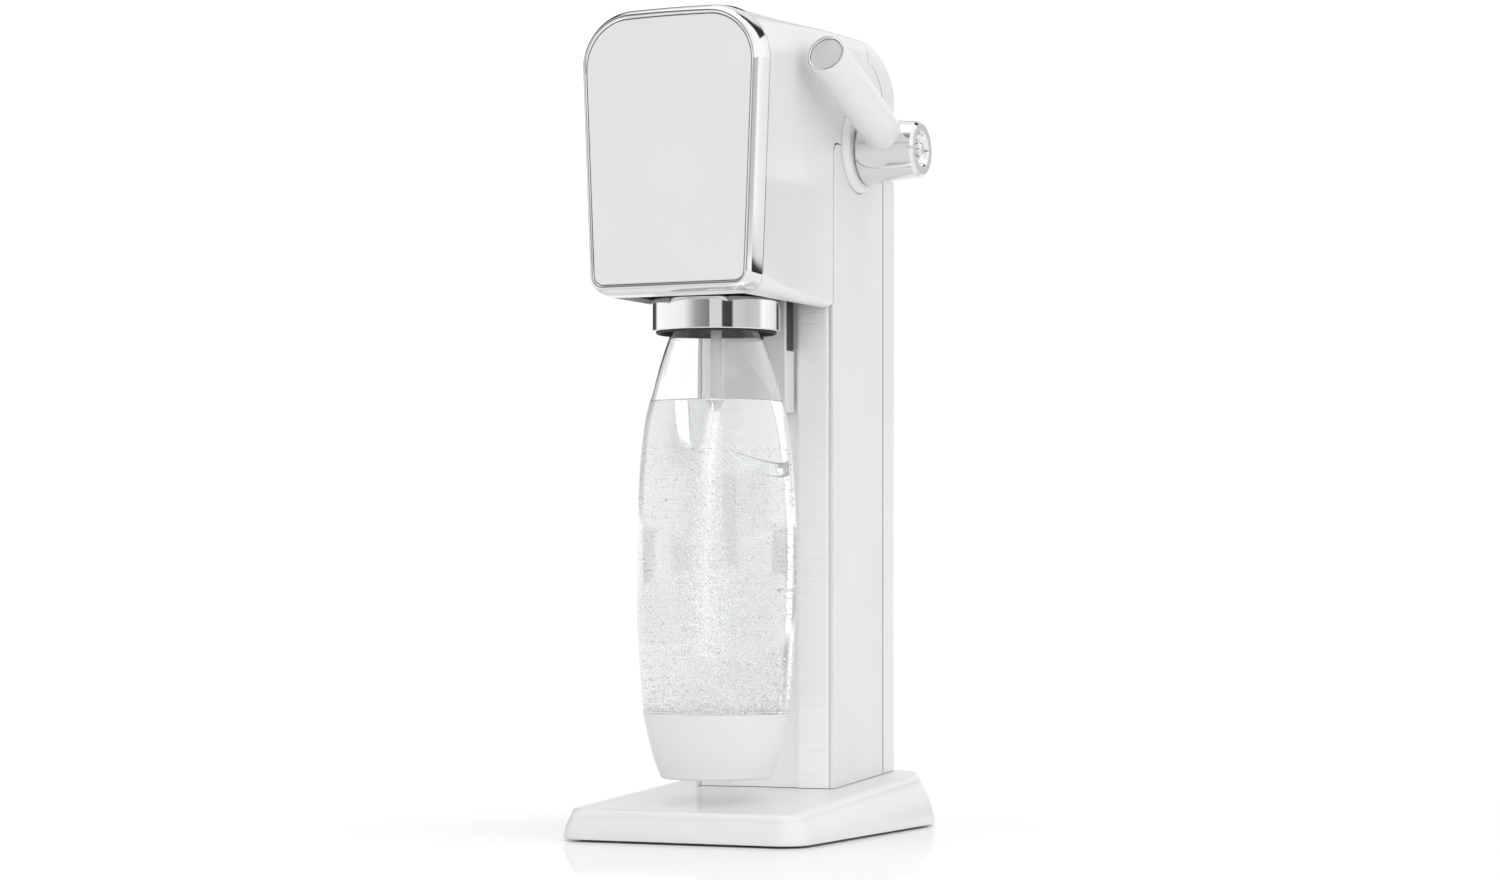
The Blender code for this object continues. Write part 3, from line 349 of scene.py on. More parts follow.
def rounded(points, radius, steps=4):
    """A closed flat outline with its corners rounded; points on the axis of a turned profile stay."""
    made = []
    for i, point in enumerate(points):
        before, here, after = Vector(points[i - 1]), Vector(point), Vector(points[(i + 1) % len(points)])
        back, on = before - here, after - here
        if here.x < 1e-9 or min(back.length, on.length) < 1e-7 or back.angle(on) > math.radians(172):
            made.append(tuple(here))
            continue
        half = back.angle(on) / 2
        reach = min(radius / math.tan(half), 0.45 * back.length, 0.45 * on.length)
        start, end = here + back.normalized() * reach, here + on.normalized() * reach
        beside = 1.2 * reach                    # a point more on each side keeps the flats flat when shaded
        if beside < 0.45 * back.length:
            made.append(tuple(here + back.normalized() * beside))
        for k in range(steps + 1):
            t = k / steps
            made.append(tuple((1 - t) ** 2 * start + 2 * t * (1 - t) * here + t * t * end))
        if beside < 0.45 * on.length:
            made.append(tuple(here + on.normalized() * beside))
    return made


def smooth(points, between):
    """Catmull-Rom curve through flat or spatial points."""
    points = [Vector(p) for p in points]
    line = [2 * points[0] - points[1]] + points + [2 * points[-1] - points[-2]]
    made = []
    for a, b, c, d in zip(line, line[1:], line[2:], line[3:]):
        for i in range(between):
            t = i / between
            made.append(0.5 * ((2 * b) + (c - a) * t + (2 * a - 5 * b + 4 * c - d) * t * t
                               + (3 * b - a - 3 * c + d) * t ** 3))
    return made + [points[-1]]


def skin(mesh, loops, closed=True):
    """Faces between neighbouring loops of the same number of vertices."""
    for low, high in zip(loops, loops[1:]):
        count = len(low)
        for i in range(count if closed else count - 1):
            j = (i + 1) % count
            mesh.faces.new((low[i], low[j], high[j], high[i]))


def loft(rings, capped=True):
    """Closed rings joined in order; capped at both ends, or joined end to end into a hoop."""
    mesh = bmesh.new()
    loops = [[mesh.verts.new(p) for p in ring] for ring in rings]
    skin(mesh, loops)
    if capped:
        mesh.faces.new(loops[0])
        mesh.faces.new(loops[-1])
    else:
        skin(mesh, [loops[-1], loops[0]])
    return mesh


def prism(outline, sweep):
    """A flat outline of spatial points swept along a vector."""
    return loft([[Vector(p) for p in outline], [Vector(p) + Vector(sweep) for p in outline]])


def turned(profile, centre, way=UP, steps=96):
    """A solid of revolution from a closed profile of (radius, distance along the way) points."""
    mesh = bmesh.new()
    loops = []
    for r, h in profile:
        if r < 1e-9:
            loops.append([mesh.verts.new((0, 0, h))] * steps)
        else:
            turns = [math.tau * i / steps for i in range(steps)]
            loops.append([mesh.verts.new((r * math.cos(t), r * math.sin(t), h)) for t in turns])
    for low, high in zip(loops, loops[1:] + loops[:1]):
        for i in range(steps):
            j = (i + 1) % steps
            corners = list(dict.fromkeys((low[i], low[j], high[j], high[i])))
            if len(corners) > 2:
                mesh.faces.new(corners)
    turn = Vector(UP).rotation_difference(Vector(way)).to_matrix().to_4x4()
    mesh.transform(Matrix.Translation(centre) @ turn)
    return mesh


def rod(radius, start, end, steps=96):
    """A round bar between two points."""
    start, end = Vector(start), Vector(end)
    length = (end - start).length
    return turned([(0, 0), (radius, 0), (radius, length), (0, length)], start, (end - start) / length, steps)


def extent(node):
    """Radius and both ends of an upright round piece, from its CAD node."""
    low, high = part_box(node)
    return high.x, low.z, high.z


def side_bore(radius, centre, start, end):
    """A round bar along X, between two distances from a centre."""
    return rod(radius, centre + Vector((start, 0, 0)), centre + Vector((end, 0, 0)))


def sleeve(node, bore, radius, centre, edge, steps=96):
    """A round piece along X, between the ends of its CAD node."""
    low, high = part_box(node)
    side = rounded([(bore, low.x), (radius, low.x), (radius, high.x), (bore, high.x)], edge)
    add(node + "_fine", turned(side, centre, ALONG_X, steps), node)


def softened(node, width):
    """A CAD node's own shape with its edges rounded."""
    mesh = bmesh.new()
    mesh.from_mesh(frame["nodes"][node].data)
    bmesh.ops.remove_doubles(mesh, verts=mesh.verts, dist=0.002 * MM)
    bmesh.ops.dissolve_limit(mesh, angle_limit=math.radians(1), verts=mesh.verts, edges=mesh.edges)
    return soften(add(node + "_fine", mesh, node, sharp=30), width)


def tube(name, path, radius, node, sides=20):
    """A round tube along a path, as a mesh with capped ends."""
    path = [Vector(p) for p in path]
    rings = []
    across = Vector((0, 0, 1))
    for i, point in enumerate(path):
        way = (path[min(i + 1, len(path) - 1)] - path[max(i - 1, 0)]).normalized()
        side = way.cross(across).normalized()
        across = side.cross(way).normalized()
        turns = [math.tau * k / sides for k in range(sides)]
        rings.append([point + radius * (side * math.cos(t) + across * math.sin(t)) for t in turns])
    return add(name, loft(rings), node)


# ---------------------------------------------------------------- base

def base_top(y):
    """Height of the base's sloped top plane."""
    return BASE_FRONT_TOP_Z + BASE_SLOPE * (y - BASE_LOW.y)


def base_ring(inset, height, draft=0.0):
    """A ring round the base. Height is a function of depth; draft is the share of the whole draft
    that it moves in by."""
    ring = []
    for side, depth, start in [(1, -1, -90), (1, 1, 0), (-1, 1, 90), (-1, -1, 180)]:
        radius = BASE_REAR_CORNER_R if depth > 0 else BASE_FRONT_CORNER_R
        x = side * (BASE_HIGH.x - radius)
        y = (BASE_HIGH.y if depth > 0 else BASE_LOW.y) - depth * radius
        for px, py in arc((0, 0), 1, start, start + 90, 16):
            rise = base_top(y + radius * py) - BASE_EDGE_R - BASE_RIM_Z
            reach = radius - (inset + draft * BASE_DRAFT * rise * (1 - 0.9 * max(0, py) ** 4))
            ring.append((x + px * reach, y + py * reach, height(y + py * reach)))
    return ring


def make_base():
    """Wedge shell with rounded edges, bottom cover, feet and screws."""
    def between(share):
        return lambda y: BASE_RIM_Z + share * (base_top(y) - BASE_EDGE_R - BASE_RIM_Z)

    rings = [base_ring(3.2 * MM, lambda y: BASE_COVER_TOP_Z + GAP), base_ring(3.2 * MM, lambda y: 0.2 * MM),
             base_ring(2.9 * MM, lambda y: 0)]
    rim = 0.9 * MM
    rings += [base_ring(rim - out, lambda y, z=z: z) for out, z in arc((0, rim), rim, -90, 0, 5)]
    rings += [base_ring(0, between(k / 8), (k / 8) ** 1.7) for k in range(8)]
    for t in [math.radians(9 * i) for i in range(11)]:
        inset, drop = BASE_EDGE_R * (1 - math.cos(t)), BASE_EDGE_R * (1 - math.sin(t))
        rings.append(base_ring(inset, lambda y, drop=drop: base_top(y) - drop, 1))
    rings.append(base_ring(BASE_EDGE_R + 4 * MM, base_top, 1))
    add("base_shell_fine", loft(rings), "base_shell", sharp=50)

    plate = [(x, y, 0.1 * MM) for x, y, _ in base_ring(3.5 * MM, lambda y: 0)]
    cover = add("base_cover_fine", prism(plate, (0, 0, BASE_COVER_TOP_Z - 0.1 * MM)), "base_cover")
    soften(cover, 0.3 * MM)
    for number in range(1, 5):
        low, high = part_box(f"foot_{number}")
        r = (high.x - low.x) / 2
        centre = (low.x + r, low.y + r, 0)
        pad = rounded([(0, low.z + 0.25 * MM), (r - 3 * MM, low.z + 0.25 * MM), (r - 3.4 * MM, low.z),
                       (r - 0.3 * MM, low.z), (r, high.z), (0, high.z)], 0.25 * MM)
        add(f"foot_{number}_fine", turned(pad, centre, steps=64), f"foot_{number}")
        softened(f"base_screw_{number}", 0.15 * MM)


# ---------------------------------------------------------------- column and rear cover

def upright(plan, top):
    """A plan outline standing on the base's sloped top, up to a level."""
    return loft([[(x, y, base_top(y) + GAP) for x, y in plan], [(x, y, top) for x, y in plan]])


def across(outline, half=60 * MM):
    """A (y, z) outline swept from side to side."""
    return prism([(-half, y, z) for y, z in outline], (2 * half, 0, 0))


def make_column():
    """Two-sided shell, and the front panel with its channel and fine ribs."""
    x, back, front = COLUMN_HIGH.x, COLUMN_HIGH.y, COLUMN_LOW.y
    edge, bed = PANEL_HIGH.x + GAP, PANEL_HIGH.y + GAP
    corner = arc((x - 1 * MM, front + 1 * MM), 1 * MM, -90, 0, 6)
    right = [(0, bed), (edge, bed), (edge, front + 0.3 * MM), (edge + 0.3 * MM, front)] + corner
    right += [(x, back - 0.4 * MM), (x - 0.4 * MM, back), (x - WALL, back), (x - WALL, bed + WALL)]
    plan = right + [(-a, b) for a, b in reversed(right[1:])]
    shell = add("column_shell_fine", upright(plan, COLUMN_HIGH.z), "column_shell", sharp=30)
    r, top = 5 * MM, COLUMN_HIGH.z
    half, near, far, low = 37 * MM, 10 * MM, 18 * MM, 290 * MM
    opening = [(-half, near, low), (half, near, low), (half, far, low), (-half, far, low)]
    cut(shell, prism(opening, (0, 0, 0.1)))
    nick = [(front - 1 * MM, top - r)] + arc((front + r, top - r), r, 180, 90, 8)
    nick += [(front + r, top + 1 * MM), (front - 1 * MM, top + 1 * MM)]
    cut(shell, across(nick))
    cut(shell, side_bore(BOSS_R + GAP, BOSS_CENTRE, 30 * MM, 50 * MM))
    soften(shell, 0.25 * MM, 2, 50)

    w, c, deep, thick = PANEL_HIGH.x, CHANNEL_HALF_WIDTH, front + CHANNEL_DEPTH, PANEL_HIGH.y
    line = [(-w, thick), (-w, front + 0.5 * MM), (-w + 0.5 * MM, front)]
    line += [(-w + 0.5 * MM + (w - c - 1 * MM) * i / 8, front) for i in range(1, 8)]
    line += [(-c - 0.4 * MM, front), (-c, front + 0.4 * MM), (-c, deep - 0.3 * MM), (-c + 0.3 * MM, deep)]
    line = line + [(-a, b) for a, b in reversed(line)]
    low, high = PANEL_LOW.z + 1 * MM, PANEL_HIGH.z
    count = int((high - low) / (0.3 * MM))
    levels = [low + (high - low) * i / count for i in range(count + 1)]

    def ribbed(px, py, z):
        if py > front + 0.1 * MM or abs(px) > w - 1 * MM:
            return py
        phase = (z - low) / RIB_PITCH
        groove = max(0.0, 1 - abs((phase - round(phase)) * RIB_PITCH) / (0.55 * MM))
        return py + 0.18 * MM * groove * groove * (3 - 2 * groove)

    rings = [[(px, py, base_top(py) + GAP) for px, py in line]]
    rings += [[(px, ribbed(px, py, z), z) for px, py in line] for z in levels]
    # The column front panel takes the brighter white, painted light under the head.
    add("column_front_panel_fine", loft(rings), "column_front_panel", "ribbed_white_painted_light", 50)


def head_top(y):
    """Height of the head's top along the machine, ending in the round down to the rear."""
    rise = min(HEAD_FRONT_TOP_Z + HEAD_TOP_RISE * (y - HEAD_FRONT_Y), HEAD_HIGH.z)
    start = COVER_REAR_Y - COVER_ARC_R
    if y <= start:
        return rise
    reach = min(y - start, COVER_ARC_R)
    return rise - COVER_ARC_R + math.sqrt(COVER_ARC_R ** 2 - reach ** 2)


def seam(gap, steps=24):
    """The rear cover's seam in the (y, z) plane, from the top down to the side."""
    curve = arc((SEAM_TOP_Y, SEAM_ARC_Z), SEAM_Y - SEAM_TOP_Y, 84, 0, steps)
    return [(SEAM_TOP_Y + gap, 450 * MM)] + [(y + gap, z) for y, z in curve]


def button_block(grow, stations):
    """Rounded-rectangle loops (half width, half height, depth from the rear face, in mm) lofted along Y."""
    low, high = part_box("cover_button")
    middle = (low.z + high.z) / 2
    rings = []
    for half, tall, y in stations:
        r = 3 * MM
        a, b = half * MM + grow - r, tall * MM + grow - r
        ring = []
        for x, z, start in [(a, b, 0), (-a, b, 90), (-a, -b, 180), (a, -b, 270)]:
            corner = arc((x, z), r, start, start + 90, 8)
            ring += [(px, COVER_REAR_Y + y * MM, middle + pz) for px, pz in corner]
        rings.append(ring)
    return loft(rings)


def make_rear_cover():
    """Rear cover: sides, rear face and the round top, with its seam and its release button."""
    def ring(y, place_y, inset):
        reach = min(max(0, y - COVER_REAR_Y + COVER_CORNER_R), COVER_CORNER_R)
        half = COLUMN_HIGH.x - COVER_CORNER_R + math.sqrt(COVER_CORNER_R ** 2 - reach ** 2) - inset
        top = head_top(y) - inset
        r = COVER_SHOULDER_R - inset
        low = base_top(place_y) + GAP
        points = [(half, low + (top - r - low) * i / 12) for i in range(12)]
        points += arc((half - r, top - r), r, 0, 90, 16)
        points += [((half - r) * (1 - i / 8), top) for i in range(1, 9)]
        return [(x, place_y, z) for x, z in points] + [(-x, place_y, z) for x, z in reversed(points[:-1])]

    arc_start = COVER_REAR_Y - COVER_ARC_R
    depths = [50 * MM, SEAM_TOP_Y, 61 * MM]
    depths += [arc_start + COVER_ARC_R * math.sin(math.radians(a)) for a in range(2, 89, 2)]
    scale = (COVER_ARC_R - WALL) / COVER_ARC_R
    outside = [ring(y, y, 0) for y in depths + [COVER_REAR_Y - 0.005 * MM]]
    inside = [ring(y, arc_start + (y - arc_start) * scale if y > arc_start else y, WALL) for y in depths]
    inside.append(ring(COVER_REAR_Y - 0.02 * MM, COVER_REAR_Y - WALL, WALL))
    mesh = bmesh.new()
    outside = [[mesh.verts.new(p) for p in loop] for loop in outside]
    inside = [[mesh.verts.new(p) for p in loop] for loop in inside]
    skin(mesh, outside, closed=False)
    skin(mesh, inside, closed=False)
    skin(mesh, [outside[0], inside[0]], closed=False)
    for end in (0, -1):
        for i in range(len(outside) - 1):
            mesh.faces.new((outside[i][end], outside[i + 1][end], inside[i + 1][end], inside[i][end]))
    mesh.faces.new(outside[-1])
    mesh.faces.new(inside[-1])
    mesh.faces.new((outside[-1][0], outside[-1][-1], inside[-1][-1], inside[-1][0]))
    cover = add("rear_cover_fine", mesh, "rear_cover", sharp=50)
    cut(cover, across(seam(SHADOW_GAP) + [(SEAM_Y + SHADOW_GAP, 0), (40 * MM, 0), (40 * MM, 450 * MM)]))
    cut(cover, button_block(0.4 * MM, [(9, 6, -7), (9, 6, 3)]))
    soften(cover, 0.25 * MM, 2, 50)
    stations = [(11, 8, -5.8), (11, 8, -2.9), (9, 6, -2.9), (9, 6, -1.0), (8.8, 5.8, -0.6), (8.4, 5.4, -0.35),
                (7, 4, -0.5), (5, 3.2, -0.6)]
    add("cover_button_fine", button_block(0, stations), "cover_button")


# ---------------------------------------------------------------- head

def outline(top_half, bottom_half, low, high, top_r, bottom_r, crown, lip=None):
    """Right half of a housing section, (x, z) from the bottom to the top's middle."""
    if lip is None:
        points = [((bottom_half - bottom_r) * i / 10, low) for i in range(10)]
    else:
        points = [(bottom_half - bottom_r - lip, low)]
    widest = high - max(top_r + 0.4 * MM, FACE_WIDEST_BELOW_TOP)
    points += arc((bottom_half - bottom_r, low + bottom_r), bottom_r, -90, 0, 10)
    x0, z0 = points[-1]
    points += [(x0 + (top_half - x0) * i / 14, z0 + (widest - z0) * i / 14) for i in range(1, 15)]
    points.append((top_half, (widest + high - top_r) / 2))
    points += arc((top_half - top_r, high - top_r), top_r, 0, 90, 20)
    points += [((top_half - top_r) * (1 - i / 12), high) for i in range(1, 13)]
    reach = [max(0, (z - high + top_r) / top_r) * (1 - (x / top_half) ** 2) for x, z in points]
    return [(x, z + crown * amount) for (x, z), amount in zip(points, reach)]


def mirrored(half):
    """A whole section from its right half; a point on the middle plane is used once."""
    return half + [(-x, z) for x, z in reversed(half[:-1]) if x > 1e-9]


def face_loft(name, stations, nodes, capped=True, **look):
    """A piece of rings round the front panel's outline, each flared out and set behind its front, in mm."""
    rings = []
    for flare, depth in stations:
        flare = flare * MM
        up, down = flare * TOP_FLARE / FLARE, flare * BOTTOM_FLARE / FLARE
        radii = [max(0.4 * MM, radius + flare) for radius in (FACE_TOP_R, FACE_BOTTOM_R)]
        half = outline(FACE_TOP_HALF_WIDTH + flare, FACE_BOTTOM_HALF_WIDTH + flare, FACE_LOW.z - down,
                       FACE_TOP_Z + up, *radii, HEAD_CROWN)
        rings.append([(x, FACE_LOW.y + depth * MM, z) for x, z in mirrored(half)])
    add(name, loft(rings, capped=capped), nodes, **look)


def head_section(y, inset):
    """The head's inverted U section at a depth, moved inwards by inset."""
    t = min(1, max(0, (HEAD_SEAM_Y - y) / (HEAD_SEAM_Y - HEAD_FRONT_Y)))
    back = min(1, max(0, (y - HEAD_SEAM_Y) / (SEAM_TOP_Y - HEAD_SEAM_Y)))
    rear = HEAD_REAR_HALF_WIDTH - (HEAD_REAR_HALF_WIDTH - COLUMN_HIGH.x) * back
    top_half = rear + (FACE_TOP_HALF_WIDTH + FLARE - rear) * t * t - inset
    bottom_half = rear + (FACE_BOTTOM_HALF_WIDTH + FLARE - rear) * t * t - inset
    top_r = COVER_SHOULDER_R + (FACE_TOP_R + FLARE - COVER_SHOULDER_R) * t - inset
    bottom_r = 4 * MM + (FACE_BOTTOM_R + FLARE - 4 * MM) * t * t - inset
    half = outline(top_half, bottom_half, HEAD_LOW.z + inset, head_top(y) - inset, top_r, bottom_r,
                   HEAD_CROWN * t, lip=0.5 * MM)
    return [(x, y, z) for x, z in half] + [(-x, y, z) for x, z in reversed(half[:-1])]


def painted_seam_shade(name, path):
    """Painted shade: dark strips just under the surface of both sides, along a seam's path in the (y, z)
    plane, that stand in for the shade inside the seam.
    """
    half, face = SHADOW_GAP / 2 - 0.02 * MM, COLUMN_HIGH.x - 0.12 * MM
    mesh = bmesh.new()
    for side in (-1, 1):
        loops = []
        for i, (y, z) in enumerate(path):
            before, after = path[max(0, i - 1)], path[min(len(path) - 1, i + 1)]
            dy, dz = after[0] - before[0], after[1] - before[1]
            size = math.hypot(dy, dz)
            ny, nz = half * dz / size, -half * dy / size
            corners = [(face, 1), (face, -1), (face - 1 * MM, -1), (face - 1 * MM, 1)]
            loops.append([mesh.verts.new((side * x, y + k * ny, z + k * nz)) for x, k in corners])
        skin(mesh, loops)
        mesh.faces.new(loops[0])
        mesh.faces.new(loops[-1])
    add(name, mesh, [], "black_rubber", body="machine")


def make_head():
    """Glossy shell, chrome bezel, front panel and the boss round the hub."""
    stations = [HEAD_FRONT_Y + (HEAD_SEAM_Y - HEAD_FRONT_Y) * (i / 40) for i in range(41)]
    stations += [HEAD_SEAM_Y + (82 * MM - HEAD_SEAM_Y) * i / 24 for i in range(1, 25)]
    rings = [head_section(y, 0) + list(reversed(head_section(y, WALL))) for y in stations]
    head = add("head_shell_fine", loft(rings), "head_shell", sharp=50)
    far, top, r = 90 * MM, COLUMN_HIGH.z + SHADOW_GAP, 5 * MM
    foot_r, rear = 6 * MM, COLUMN_LOW.y - SHADOW_GAP
    edge = arc((rear - foot_r, HEAD_LOW.z + foot_r), foot_r, -90, 0, 8)
    edge += arc((rear + r, top - r), r, 180, 90, 8) + [(far, top)]
    notch = [(far, 260 * MM), (rear - foot_r, 260 * MM), (rear - foot_r, HEAD_LOW.z)] + edge
    cut(head, across(notch))
    cut(head, side_bore(BOSS_R + GAP, BOSS_CENTRE, 30 * MM, 50 * MM))
    # Dark strips of painted shade along the head's seam and the rear cover's seam.
    path = [(y + SHADOW_GAP / 2, z) for y, z in edge[6:-8]] + [(rear + r, top - SHADOW_GAP / 2)]
    painted_seam_shade("head_seam_painted_shade", path)
    painted_seam_shade("cover_seam_painted_shade", [(y, z) for y, z in seam(SHADOW_GAP / 2)[6:]]
          + [(SEAM_Y + SHADOW_GAP / 2, base_top(SEAM_Y) + 1 * MM)])
    cut(head, across(seam(0) + [(SEAM_Y, 360 * MM), (far, 360 * MM), (far, 450 * MM)]))
    soften(head, 0.25 * MM, 3, 50)

    rim = smooth([(0.3, 0.4), (0.8, -0.08), (1.8, 0.0), (3.0, 1.6), (4.0, 4.5), (4.6, 8.5), (5.0, 12.8)], 6)
    rim += [(4.8, 13.2), (2.8, 13.2), (2.1, 8.5), (0.3, 3.6)]
    face_loft("bezel_fine", rim, "bezel", capped=False, sharp=60)
    plate = [(0, 3.2), (0, 0.75), (-0.06, 0.45), (-0.25, 0.2), (-0.55, 0.05), (-1.0, 0)]
    face_loft("front_panel_fine", plate, "front_panel", sharp=50)
    # Painted shade: a dark strip low in the groove round the front panel stands in for the groove's shade.
    groove = [(0.28, 0.65), (0.28, 2.8), (-0.02, 2.8), (-0.02, 0.65)]
    face_loft("front_panel_painted_shade", groove, [], capped=False, finish="black_rubber", body="machine")

    softened("head_underside", 0.5 * MM)
    x0, x1 = BOSS_LOW.x, BOSS_HIGH.x
    ring = [(0, x0), (BOSS_R, x0), (BOSS_R, x1 - 2.6 * MM), (BOSS_R - 2.0 * MM, x1), (0, x1)]
    boss = add("hub_boss_fine", turned(rounded(ring, 1.2 * MM, 6), BOSS_CENTRE, ALONG_X), "hub_boss")
    cut(boss, side_bore(8 * MM, HUB_CENTRE, 30 * MM, 60 * MM))


# ---------------------------------------------------------------- lever

def make_lever():
    """Chrome hub with its end button, white arm, chrome end ring and pearl disc."""
    x0, x1 = HUB_LOW.x, HUB_HIGH.x
    recess, knob = 9 * MM, 3.6 * MM
    hub = [(5.4 * MM, x0), (HUB_R0, x0), (HUB_R1 + 0.25 * MM, x1 - 1.6 * MM), (HUB_R1 - 1.1 * MM, x1),
           (recess + 0.7 * MM, x1), (recess, x1 - 0.7 * MM), (recess - 1.0 * MM, x1 - 2.4 * MM),
           (knob + 2.2 * MM, x1 - 3.0 * MM), (knob + 1.2 * MM, x1 - 2.2 * MM), (knob + GAP, x1 - 2.6 * MM),
           (knob + GAP, x1 - 6 * MM), (0, x1 - 6 * MM), (0, x1 - 12 * MM), (5.4 * MM, x1 - 12 * MM)]
    add("lever_hub_fine", turned(rounded(hub, 0.6 * MM, 4), HUB_CENTRE, ALONG_X, 128), "lever_hub", sharp=60)
    button = rounded([(0, x1 - 5.7 * MM), (knob, x1 - 5.7 * MM), (knob, x1 - 0.5 * MM),
                      (knob - 0.9 * MM, x1 + 0.3 * MM), (0, x1 + 0.3 * MM)], 0.6 * MM, 4)
    add("hub_button_fine", turned(button, HUB_CENTRE, ALONG_X, 64), "hub_button", sharp=60)

    way = (ARM_TIP - ARM_FOOT).normalized()
    length = (ARM_TIP - ARM_FOOT).length
    r = ARM_R
    foot = [(r * math.cos(t), -r * math.sin(t)) for t in [math.radians(6 * i) for i in range(15, -1, -1)]]
    foot[0] = (0, -r)
    lip = [(r, length - 0.6 * MM), (r - 0.12 * MM, length - 0.25 * MM), (r - 0.35 * MM, length - 0.05 * MM),
           (r - 0.5 * MM, length), (r - 0.55 * MM, length - 0.2 * MM), (r - 0.55 * MM, length - 3 * MM),
           (0, length - 3 * MM)]
    arm = add("lever_arm_fine", turned(foot + lip, ARM_FOOT, way, 128), "lever_arm", sharp=45)
    core = [(0, x0 - 1 * MM), (HUB_R0 - 0.1 * MM, x0 - 1 * MM), (HUB_R1 - 0.1 * MM, x1 + 1 * MM),
            (0, x1 + 1 * MM)]
    cut(arm, turned(core, HUB_CENTRE, ALONG_X, 128))
    s = length - 2.7 * MM
    band = [(r - 1.75 * MM, s), (r - 1.75 * MM, length - 0.5 * MM), (r - 1.35 * MM, length + 0.1 * MM),
            (r - 0.85 * MM, length - 0.05 * MM), (r - 0.55 * MM, length - 0.6 * MM),
            (r - 0.9 * MM, length - 1.2 * MM), (r - 0.9 * MM, s)]
    band = rounded(band, 0.3 * MM, 4)
    add("lever_end_ring_fine", turned(band, ARM_FOOT, way, 128), "lever_end_ring", sharp=60)
    wide = r - 2 * MM
    disc = [(0, s), (wide, s), (wide, length - 0.7 * MM)]
    for share in [1 - k / 8 for k in range(1, 9)]:
        disc.append((wide * share, length - 0.7 * MM + 0.35 * MM * (1 - share ** 2)))
    add("lever_end_disc_fine", turned(disc, ARM_FOOT, way, 96), "lever_end_disc")
    sleeve("lever_shaft", 0, 5 * MM, HUB_CENTRE, 0.6 * MM)
    softened("cam", 0.5 * MM)


# ---------------------------------------------------------------- bottle carrier and bottle

def make_carrier():
    """Polished collar, black cup, nozzle tube, bracket and guard."""
    r, z0, z1 = extent("collar_ring")
    ring = rounded([(r - 2.2 * MM, z0 + 0.5 * MM), (r - 1.9 * MM, z0), (r, z0), (r, z1), (r - 0.9 * MM, z1),
                    (r - 2.2 * MM, z1)], 0.45 * MM, 5)
    add("collar_ring_fine", turned(ring, BOTTLE_CENTRE, steps=160), "collar_ring", sharp=60)
    wide, z0, z1 = extent("carrier_cup")
    cup = [(3.65 * MM, 285.8 * MM), (24 * MM, 285.8 * MM), (26 * MM, 276.5 * MM),
           (29.6 * MM, z0 + 0.6 * MM), (30 * MM, z0), (wide, z0), (wide, z1), (3.65 * MM, z1)]
    add("carrier_cup_fine", turned(rounded(cup, 0.6 * MM), BOTTLE_CENTRE, steps=128), "carrier_cup")
    r, z0, z1 = extent("nozzle_tube")
    bore = 0.9 * MM
    tip = [(bore, z0), (1.7 * MM, z0), (2.0 * MM, z0 + 2.2 * MM), (r - 0.5 * MM, z0 + 3.2 * MM),
           (r, z0 + 5 * MM), (r, z0 + 9 * MM), (r - 0.35 * MM, z0 + 9.6 * MM),
           (r - 0.35 * MM, z1 - 20 * MM), (r, z1 - 18 * MM), (r, z1), (bore, z1)]
    add("nozzle_tube_fine", turned(rounded(tip, 0.4 * MM, 4), BOTTLE_CENTRE, steps=64), "nozzle_tube")
    softened("carrier_bracket", 0.6 * MM)
    softened("carrier_guard", 0.9 * MM)
    softened("nozzle_seal", 0.4 * MM)


def inner(radius):
    """Radius of the bottle's inside, from its outside."""
    return radius - BOTTLE_WALL


